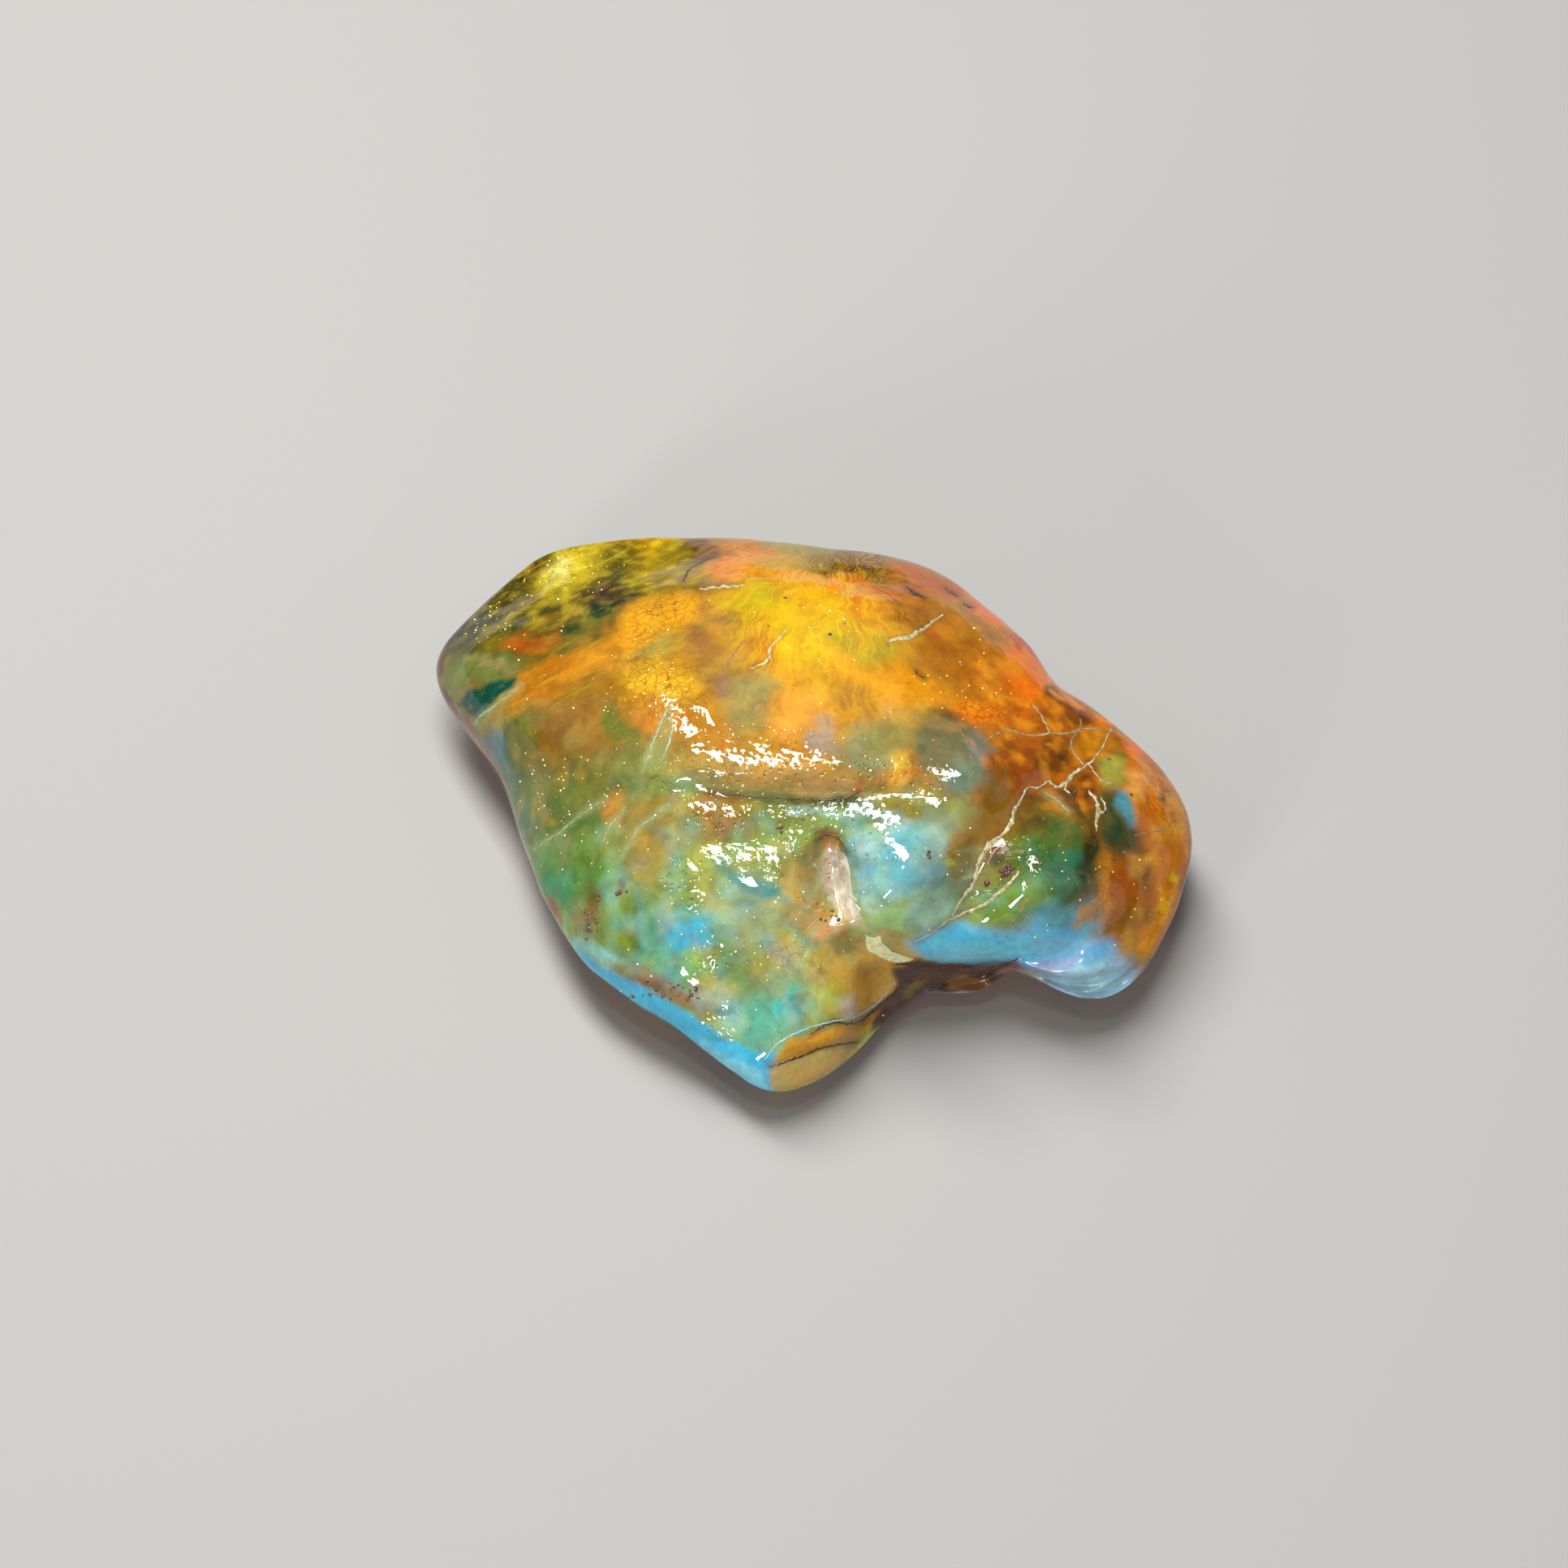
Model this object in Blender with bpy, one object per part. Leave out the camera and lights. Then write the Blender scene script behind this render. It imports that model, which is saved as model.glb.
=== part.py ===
"""A polished nugget of Dominican blue amber, one solid, resting on its flattened underside.

Its form is given as it is seen from the front, looking down at SIGHT_DEG above the table:
an outline in the plane square to that line of sight, the height above the table of the edge
all the way round, and the height of the upper face inside it. Under the edge the body curves
in to a flat base. In these functions x runs to the right and v up the seen plane, both from
the middle of the upper face, and every size is in millimetres until the mesh is made.
"""

import math

import bmesh
import bpy
import numpy as np
from mathutils import Vector, noise

MM = 0.001
NODE = "amber_nugget"
SIGHT_DEG = 52.0

# The mesh: cells along each edge of the cube that is rounded into the nugget, and how far, in
# radians, its cells are drawn towards the upper face, where the detail is
CELLS = 28
DRAWN_UP = 0.25

# The edge as it is seen, anticlockwise from the right-hand end: x, v and height above the table
EDGE = (
    (31.2, -8.4, 7.5),
    (30.5, -5.2, 8.5),
    (28.5, -2.2, 9.5),
    (25.8, 0.4, 10.5),
    (22.9, 2.5, 11.0),
    (20.7, 3.9, 11.5),
    (18.1, 7.6, 12.0),
    (14.7, 10.9, 12.5),
    (10.9, 13.6, 13.0),
    (6.4, 14.9, 13.0),
    (0.0, 15.8, 13.0),
    (-7.0, 16.6, 12.5),
    (-12.8, 16.7, 12.0),
    (-19.2, 16.0, 11.0),
    (-22.9, 14.9, 10.0),
    (-25.6, 12.9, 9.0),
    (-28.5, 10.0, 8.0),
    (-30.6, 7.4, 7.0),
    (-31.3, 5.0, 6.0),
    (-30.3, 2.4, 5.5),
    (-26.4, -2.4, 4.5),
    (-24.6, -5.6, 4.5),
    (-23.0, -10.4, 5.0),
    (-21.0, -14.6, 5.0),
    (-18.3, -18.5, 5.0),
    (-14.6, -21.4, 4.5),
    (-10.6, -23.8, 4.5),
    (-6.6, -26.9, 4.0),
    (-4.5, -28.2, 4.0),
    (-2.4, -28.8, 3.5),
    (-0.1, -28.2, 3.0),
    (2.3, -27.0, 3.0),
    (4.3, -25.3, 3.0),
    (5.9, -23.3, 3.0),
    (7.6, -21.8, 3.0),
    (9.6, -21.0, 3.0),
    (14.0, -21.1, 3.0),
    (15.8, -19.6, 3.5),
    (17.3, -19.3, 4.0),
    (19.8, -20.7, 4.5),
    (22.9, -21.6, 5.0),
    (25.8, -20.3, 5.0),
    (28.0, -17.5, 5.5),
    (29.7, -14.6, 6.0),
    (30.7, -11.6, 7.0),
)
EDGE_STEPS = 16

# The broad facets of the upper face: a point on each, the way it falls in the seen plane, its
# height at the point, and its fall for each millimetre. The face is the lowest of them, blended.
FACETS = (
    ((-4.0, 3.0), 90.0, 20.5, 0.00),
    ((-2.0, -3.5), -92.0, 20.1, 0.58),
    ((-18.6, 6.3), 124.0, 17.4, 0.74),
    ((2.0, 12.5), 82.0, 19.0, 0.75),
    ((14.5, 9.0), 41.0, 18.0, 0.80),
    ((10.0, -2.0), 5.0, 20.2, 0.40),
    ((-14.0, -1.0), 196.0, 19.4, 0.42),
    ((-15.0, -14.0), 224.0, 13.2, 0.60),
    ((22.0, -14.0), -60.0, 12.5, 0.55),
)
FACET_BLEND = 0.9

# Swellings of the upper face: middle, half-sizes, turn of the first half-size, and height
LOWER_LEFT_LOBE = ((-8.0, -17.5), (11.0, 8.5), 20.0, 1.0)
BROW = ((-2.5, -2.4), (15.5, 3.6), 3.0, 1.0)
MIDDLE_LOBE = ((7.6, -11.6), (5.2, 6.8), -20.0, 2.4)
RIGHT_LOBE = ((19.8, -12.0), (8.2, 7.2), -25.0, 2.5)
NOSE = ((23.2, -19.4), (4.6, 3.6), -15.0, 1.8)
SHOULDER_LUMP = ((27.0, -4.6), (5.2, 4.0), -50.0, 1.3)
SIDE_BUMP = ((12.8, -2.9), (4.2, 4.0), -40.0, 1.3)
SMALL_BUMP = ((7.3, -2.6), (2.4, 1.9), 0.0, 0.6)
FRONT_END = ((-3.2, -25.6), (6.5, 5.5), 0.0, 1.8)
FAN_SWELL = ((2.0, 7.0), (8.0, 5.5), 0.0, 0.5)
CORNER_LUMP = ((-25.0, 9.5), (6.0, 4.2), 35.0, 0.9)
LUMPS = (
    LOWER_LEFT_LOBE,
    BROW,
    MIDDLE_LOBE,
    RIGHT_LOBE,
    NOSE,
    SHOULDER_LUMP,
    SIDE_BUMP,
    SMALL_BUMP,
    FRONT_END,
    FAN_SWELL,
    CORNER_LUMP,
)

# Hollows: a small pit beside the middle lobe, and shallow dips between the lumps
PIT = ((1.6, -11.6), (2.6, 4.4), 10.0, 2.2)
LEFT_DIP = ((-20.5, -5.5), (6.0, 3.6), 35.0, 0.7)
WAIST_DIP = ((17.5, 1.5), (5.0, 3.0), -50.0, 0.8)
CENTRE_DIP = ((-3.0, -8.0), (9.5, 2.8), 5.0, 0.5)
HOLLOWS = (PIT, LEFT_DIP, WAIST_DIP, CENTRE_DIP)

# Grooves: the line each runs along, its half-width and its depth
CRACK_VALLEY = (
    ((24.5, 0.3), (20.8, -3.8), (17.2, -5.6), (15.9, -7.8), (13.9, -9.8), (12.8, -13.0)),
    1.9,
    1.3,
)
CREASE = (
    ((-22.8, -9.4), (-19.0, -6.6), (-14.1, -4.5), (-7.8, -4.8), (2.8, -5.2), (8.7, -4.1)),
    0.9,
    0.7,
)
RIDGE_FOOT = (
    ((-27.4, 1.3), (-23.8, 4.0), (-20.6, 5.3), (-13.3, 9.0), (-10.0, 11.3)),
    0.8,
    0.25,
)
NOTCH_CREASE = (
    ((3.5, -17.4), (8.6, -19.0), (11.3, -19.2), (17.3, -18.2), (21.0, -17.4)),
    1.1,
    1.3,
)
GROOVES = (CRACK_VALLEY, CREASE, RIDGE_FOOT, NOTCH_CREASE)

# The notch's floor, which lies below the lobes over it, and the chip broken off the front end:
# a point on each, the way it falls in the seen plane, its height and its fall
NOTCH_FLOOR = ((11.5, -19.6), -80.0, 5.4, 1.1)
CHIP = ((1.3, -24.3), -50.0, 7.8, 1.7)

# How square the shoulder is between the upper face and the edge, how widely the edge's corners are
# smoothed away inside it, and how fast they come back towards it
SHOULDER = 4.8
CALM_DEG = 14.0
CALM_FADE = 4.0

# The flat base's reach, as a share of the way out to the edge, in front and behind
BASE_FRONT = 0.80
BASE_BACK = 0.45

# Shallow scoops broken out of the sides long ago and worn smooth: middle and radius of the ball
# that each one fits, in the seen frame's x, depth from front to back, and height
SCOOPS = (
    ((-13.0, 35.5, 14.0), 17.0),
    ((9.0, 36.0, 3.0), 17.5),
    ((31.0, 16.0, 16.0), 13.0),
    ((-37.5, 9.5, -4.0), 12.0),
    ((39.0, -8.5, -3.0), 11.0),
)
SCOOP_EDGE = 0.5

# Worn unevenness all over: size of the waves and their height
WAVES = ((9.0, 0.35), (4.2, 0.14))


def smooth(low, high, value):
    """0 below low, 1 above high, and a soft rise between them."""
    t = np.clip((value - low) / (high - low), 0.0, 1.0)
    return t * t * (3.0 - 2.0 * t)


def closed_curve(points, steps):
    """Points on the smooth closed curve through these points, so many for each stretch."""
    points = np.array(points, float)
    t = np.arange(steps)[:, None] / steps
    found = []
    for i in range(len(points)):
        a, b, c, d = (points[(i + k) % len(points)] for k in (-1, 0, 1, 2))
        found.append(
            b
            + 0.5 * t * (c - a)
            + t**2 * (a - 2.5 * b + 2.0 * c - 0.5 * d)
            + 0.5 * t**3 * (d - a + 3.0 * (b - c))
        )
    return np.vstack(found)


def edge_at(angle):
    """How far out the edge is, and how high above the table, at each angle in the seen plane."""
    curve = closed_curve(EDGE, EDGE_STEPS)
    around = np.arctan2(curve[:, 1], curve[:, 0])
    reach = np.hypot(curve[:, 0], curve[:, 1])
    order = np.argsort(around)
    around, reach, height = around[order], reach[order], curve[order, 2]
    whole = 2.0 * math.pi
    return np.interp(angle, around, reach, period=whole), np.interp(angle, around, height, period=whole)


def calm_edge_at(angle):
    """The edge's reach with its notches and corners smoothed away, for the shape well inside it."""
    turns = np.linspace(-2.0, 2.0, 41)
    weights = np.exp(-(turns**2))
    reaches = [edge_at(angle + turn * math.radians(CALM_DEG))[0] for turn in turns]
    return np.average(reaches, axis=0, weights=weights)


def falling(x, v, facet):
    """The height of a flat facet at each place."""
    (px, pv), way, height, fall = facet
    out = (x - px) * math.cos(math.radians(way)) + (v - pv) * math.sin(math.radians(way))
    return height - fall * out


def main_facets(x, v):
    """The height of the broad facets, run together over FACET_BLEND millimetres."""
    total = sum(np.exp(-falling(x, v, facet) / FACET_BLEND) for facet in FACETS)
    return -FACET_BLEND * np.log(total)


def swelling(x, v, lump):
    """A rounded lump's height at each place, and 0 outside its half-sizes."""
    (cx, cv), (half, other_half), turn, height = lump
    cos, sin = math.cos(math.radians(turn)), math.sin(math.radians(turn))
    along = ((x - cx) * cos + (v - cv) * sin) / half
    across = ((v - cv) * cos - (x - cx) * sin) / other_half
    return height * np.clip(1.0 - along**2 - across**2, 0.0, 1.0) ** 2


def far_from_line(x, v, line):
    """The distance of each place from a line through these points."""
    nearest = np.full(np.shape(x), np.inf)
    for (ax, av), (bx, bv) in zip(line, line[1:]):
        dx, dv = bx - ax, bv - av
        t = np.clip(((x - ax) * dx + (v - av) * dv) / (dx * dx + dv * dv), 0.0, 1.0)
        nearest = np.minimum(nearest, np.hypot(x - ax - t * dx, v - av - t * dv))
    return nearest


def groove(x, v, line, half_width, depth):
    return depth * np.exp(-((far_from_line(x, v, line) / half_width) ** 2))


def lower_of(first, second, blend):
    """The lower of two heights, run together over blend millimetres."""
    near = np.clip(0.5 + 0.5 * (second - first) / blend, 0.0, 1.0)
    return second + (first - second) * near - blend * near * (1.0 - near)


def upper_face(x, v):
    """The height of the upper face above the table."""
    height = main_facets(x, v)
    height += sum(swelling(x, v, lump) for lump in LUMPS)
    height -= sum(swelling(x, v, hollow) for hollow in HOLLOWS)
    return height - sum(groove(x, v, *line) for line in GROOVES)


def broken_places(x, v, z):
    """The upper face with the notch's floor and the chip cut into it."""
    in_notch = smooth(3.0, 5.5, x) * smooth(18.6, 16.2, x) * smooth(-18.2, -19.0, v)
    floor = lower_of(z, falling(x, v, NOTCH_FLOOR), 0.6)
    z = z + (floor - z) * in_notch
    at_chip = smooth(-6.0, -3.5, x) * smooth(-19.5, -21.5, v)
    chipped = lower_of(z, falling(x, v, CHIP), 0.4)
    return z + (chipped - z) * at_chip


def rounded_cube():
    """A cube cut into even cells, to be rounded into the nugget."""
    bm = bmesh.new()
    bmesh.ops.create_cube(bm, size=2.0)
    bmesh.ops.subdivide_edges(bm, edges=bm.edges[:], cuts=CELLS - 1, use_grid_fill=True)
    return bm


def seen_points(cube):
    """Each of the cube's points on the nugget: x and v as seen, height, and share of the way out."""
    on_ball = np.tan(cube * math.pi / 4.0)
    on_ball /= np.linalg.norm(on_ball, axis=1)[:, None]
    angle = np.arctan2(on_ball[:, 1], on_ball[:, 0])
    rise = np.arcsin(np.clip(on_ball[:, 2], -1.0, 1.0))
    rise = rise + DRAWN_UP * np.cos(rise)
    share = np.cos(rise)
    reach, edge_height = edge_at(angle)
    calm = calm_edge_at(angle)
    reach = calm + (reach - calm) * share**CALM_FADE
    x = share * reach * np.cos(angle)
    v = share * reach * np.sin(angle)
    shoulder = np.sqrt(1.0 - np.minimum(share**SHOULDER, 1.0))
    above = edge_height + (upper_face(x, v) - edge_height) * shoulder
    above = np.maximum(broken_places(x, v, above), np.minimum(above, edge_height))
    base = BASE_FRONT + (BASE_BACK - BASE_FRONT) * smooth(-1.0, 1.0, np.sin(angle))
    out = np.clip((share - base) / (1.0 - base), 0.0, 1.0)
    below = edge_height * (1.0 - np.sqrt(1.0 - out**2))
    return x, v, np.where(rise >= 0.0, above, below)


def scoop(points):
    """Pushes the points that a scoop's ball covers back to the ball, with a soft edge."""
    for middle, radius in SCOOPS:
        away = points - np.array(middle)
        far = np.linalg.norm(away, axis=1)
        over = radius - far
        push = 0.5 * (over + np.sqrt(over**2 + SCOOP_EDGE**2))
        push = np.where(over > -4.0 * SCOOP_EDGE, push, 0.0)
        points += away / far[:, None] * push[:, None]


def wear(points):
    """Makes the whole surface gently uneven, as by long rubbing."""
    for size, height in WAVES:
        for point in points:
            point += np.array(noise.noise_vector(Vector(point) / size)) * height


def nugget_points(cube):
    """Where the cube's points lie on the nugget, in the part's own frame, in millimetres."""
    x, v, z = seen_points(cube)
    sight = math.radians(SIGHT_DEG)
    points = np.column_stack([x, v / math.sin(sight) - z / math.tan(sight), z])
    on_base = z < 1e-6
    scoop(points)
    wear(points)
    points[on_base, 2] = 0.0
    points[:, 2] = np.maximum(points[:, 2], 0.0)
    low, high = points.min(axis=0), points.max(axis=0)
    return points - [(low[0] + high[0]) / 2.0, (low[1] + high[1]) / 2.0, 0.0]


def amber_material():
    material = bpy.data.materials.new("amber")
    material.use_nodes = True
    shader = material.node_tree.nodes["Principled BSDF"]
    shader.inputs["Base Color"].default_value = (0.55, 0.27, 0.05, 1.0)
    shader.inputs["Roughness"].default_value = 0.08
    shader.inputs["Metallic"].default_value = 0.0
    shader.inputs["IOR"].default_value = 1.54
    return material


def make_nugget():
    bm = rounded_cube()
    points = nugget_points(np.array([vert.co for vert in bm.verts]))
    for vert, point in zip(bm.verts, points):
        vert.co = Vector(point) * MM
    bmesh.ops.recalc_face_normals(bm, faces=bm.faces[:])
    mesh = bpy.data.meshes.new(NODE)
    bm.to_mesh(mesh)
    bm.free()
    mesh.shade_smooth()
    mesh.materials.append(amber_material())
    nugget = bpy.data.objects.new(NODE, mesh)
    bpy.context.scene.collection.objects.link(nugget)
    return nugget


def main():
    for obj in list(bpy.data.objects):
        bpy.data.objects.remove(obj)
    make_nugget()


main()
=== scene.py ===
"""The looks of the Dominican blue amber nugget.

Everything seen on the nugget is placed by where it lies in the photograph: a place such as
(1110, 945) is in pixels of the 1932-pixel photograph, x to the right and y down, and is carried
along the camera's line of sight to the nugget. Sizes across the stone are in those pixels too,
and PIXEL is what one of them measures on it in metres. Turns are anticlockwise, in degrees.
Colours in whole numbers run to 255, and those with a point are shares of linear light.
"""

import math
import random

import bmesh
import bpy
import numpy as np
from mathutils import Matrix, Vector, noise
from mathutils.bvhtree import BVHTree

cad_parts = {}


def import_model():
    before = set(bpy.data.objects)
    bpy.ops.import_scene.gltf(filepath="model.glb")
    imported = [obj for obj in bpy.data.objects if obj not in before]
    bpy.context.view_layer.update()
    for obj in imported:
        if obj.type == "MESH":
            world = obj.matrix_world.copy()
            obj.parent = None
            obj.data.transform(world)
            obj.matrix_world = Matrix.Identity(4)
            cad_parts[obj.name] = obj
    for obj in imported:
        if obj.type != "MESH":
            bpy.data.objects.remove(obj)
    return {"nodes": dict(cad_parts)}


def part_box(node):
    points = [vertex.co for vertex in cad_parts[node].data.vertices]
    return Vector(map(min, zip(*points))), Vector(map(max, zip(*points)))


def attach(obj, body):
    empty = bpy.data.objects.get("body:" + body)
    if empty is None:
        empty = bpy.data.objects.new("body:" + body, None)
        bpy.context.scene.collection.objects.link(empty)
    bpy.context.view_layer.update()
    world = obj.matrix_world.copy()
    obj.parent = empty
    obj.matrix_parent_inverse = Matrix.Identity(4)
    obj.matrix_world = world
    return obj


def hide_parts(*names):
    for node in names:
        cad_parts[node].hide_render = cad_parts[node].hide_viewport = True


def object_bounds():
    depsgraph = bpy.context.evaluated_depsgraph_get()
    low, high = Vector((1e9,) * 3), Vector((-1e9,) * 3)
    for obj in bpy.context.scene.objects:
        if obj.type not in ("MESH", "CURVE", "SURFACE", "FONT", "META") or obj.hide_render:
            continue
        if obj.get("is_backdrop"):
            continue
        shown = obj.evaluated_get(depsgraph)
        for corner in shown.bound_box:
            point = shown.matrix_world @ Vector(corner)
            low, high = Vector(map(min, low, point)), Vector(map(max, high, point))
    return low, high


MM = 0.001
NODE = "amber_nugget"

# The camera, at the photograph's viewing angle
PHOTO_SIDE = 1932
SIGHT_DEG = 52.0
CAMERA_FAR = 0.45
LENS_MM = 126.3
SENSOR_MM = 36.0
AIM = Vector((-0.0020, -0.0002, 0.0090))
PIXEL = CAMERA_FAR * SENSOR_MM / LENS_MM / PHOTO_SIDE

# Where things are in the photo


class Sight:
    """The photograph's camera: it turns points into photo pixels, and pixels into lines of sight."""

    def __init__(self):
        sight = math.radians(SIGHT_DEG)
        self.forward = Vector((0.0, math.cos(sight), -math.sin(sight)))
        self.up = Vector((0.0, math.sin(sight), math.cos(sight)))
        self.right = Vector((1.0, 0.0, 0.0))
        self.place = AIM - self.forward * CAMERA_FAR
        self.zoom = LENS_MM / SENSOR_MM * PHOTO_SIDE

    def pixels(self, points):
        """The photo's x and y of each point."""
        seen = points - np.array(self.place)
        far = seen @ np.array(self.forward)
        across = seen @ np.array(self.right) / far * self.zoom
        upward = seen @ np.array(self.up) / far * self.zoom
        return PHOTO_SIDE / 2 + across, PHOTO_SIDE / 2 - upward

    def ray(self, x, y):
        """The direction in which the camera sees this pixel."""
        across = (x - PHOTO_SIDE / 2) / self.zoom
        upward = (PHOTO_SIDE / 2 - y) / self.zoom
        return (self.forward + self.right * across + self.up * upward).normalized()


SIGHT = Sight()


def smooth(low, high, value):
    """0 up to low, 1 from high on, and a soft step between them. low may be the greater one."""
    t = np.clip((value - low) / (high - low), 0.0, 1.0)
    return t * t * (3.0 - 2.0 * t)


def line_distance(x, y, line):
    """How far each place is from the line, and how far below it, in pixels."""
    far = np.full(np.shape(x), 1e9)
    below = np.zeros(np.shape(x))
    for (ax, ay), (bx, by) in zip(line, line[1:]):
        dx, dy = bx - ax, by - ay
        t = np.clip(((x - ax) * dx + (y - ay) * dy) / (dx * dx + dy * dy), 0.0, 1.0)
        off = np.hypot(x - ax - t * dx, y - ay - t * dy)
        side = (dx * (y - ay) - dy * (x - ax)) / math.hypot(dx, dy)
        nearer = off < far
        far = np.where(nearer, off, far)
        below = np.where(nearer, side, below)
    return far, below


def inside(x, y, outline, soft):
    """1 inside the outline, falling to 0 outside it over this many pixels."""
    far, _ = line_distance(x, y, (*outline, outline[0]))
    within = np.zeros(len(x), bool)
    for (ax, ay), (bx, by) in zip(outline, (*outline[1:], outline[0])):
        crosses = (ay > y) != (by > y)
        within ^= crosses & (x < ax + (bx - ax) * (y - ay) / ((by - ay) or 1e-9))
    return smooth(-soft, soft, np.where(within, far, -far))


def turned(x, y, turn):
    """The places along and across a direction that is turned this far."""
    cos, sin = math.cos(math.radians(turn)), math.sin(math.radians(turn))
    return x * cos - y * sin, x * sin + y * cos


def spot(x, y, middle, halves, turn, soft):
    """1 in the middle of an oval, falling to 0 past its edge."""
    along, across = turned(x - middle[0], y - middle[1], turn)
    return smooth(1.0 + soft, 1.0 - soft, np.hypot(along / halves[0], across / halves[1]))


# Each octave of noise is this much finer, fainter and further on than the one before
OCTAVE_FINER, OCTAVE_FAINTER, OCTAVE_SHIFT = 2.1, 0.55, 17.0


def noise_at(points, size, shift=0.0, octaves=1):
    """Smooth noise, about -1 to 1, with features of this size in metres, and finer ones laid over.

    The shift tells one noise from another, and its value means nothing more.
    """
    total = np.zeros(len(points))
    for octave in range(octaves):
        shifted = points / size * OCTAVE_FINER**octave + shift + OCTAVE_SHIFT * octave
        total += np.array([noise.noise(p) for p in shifted.tolist()]) * OCTAVE_FAINTER**octave
    return total


# The colours seen in the stone

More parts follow.
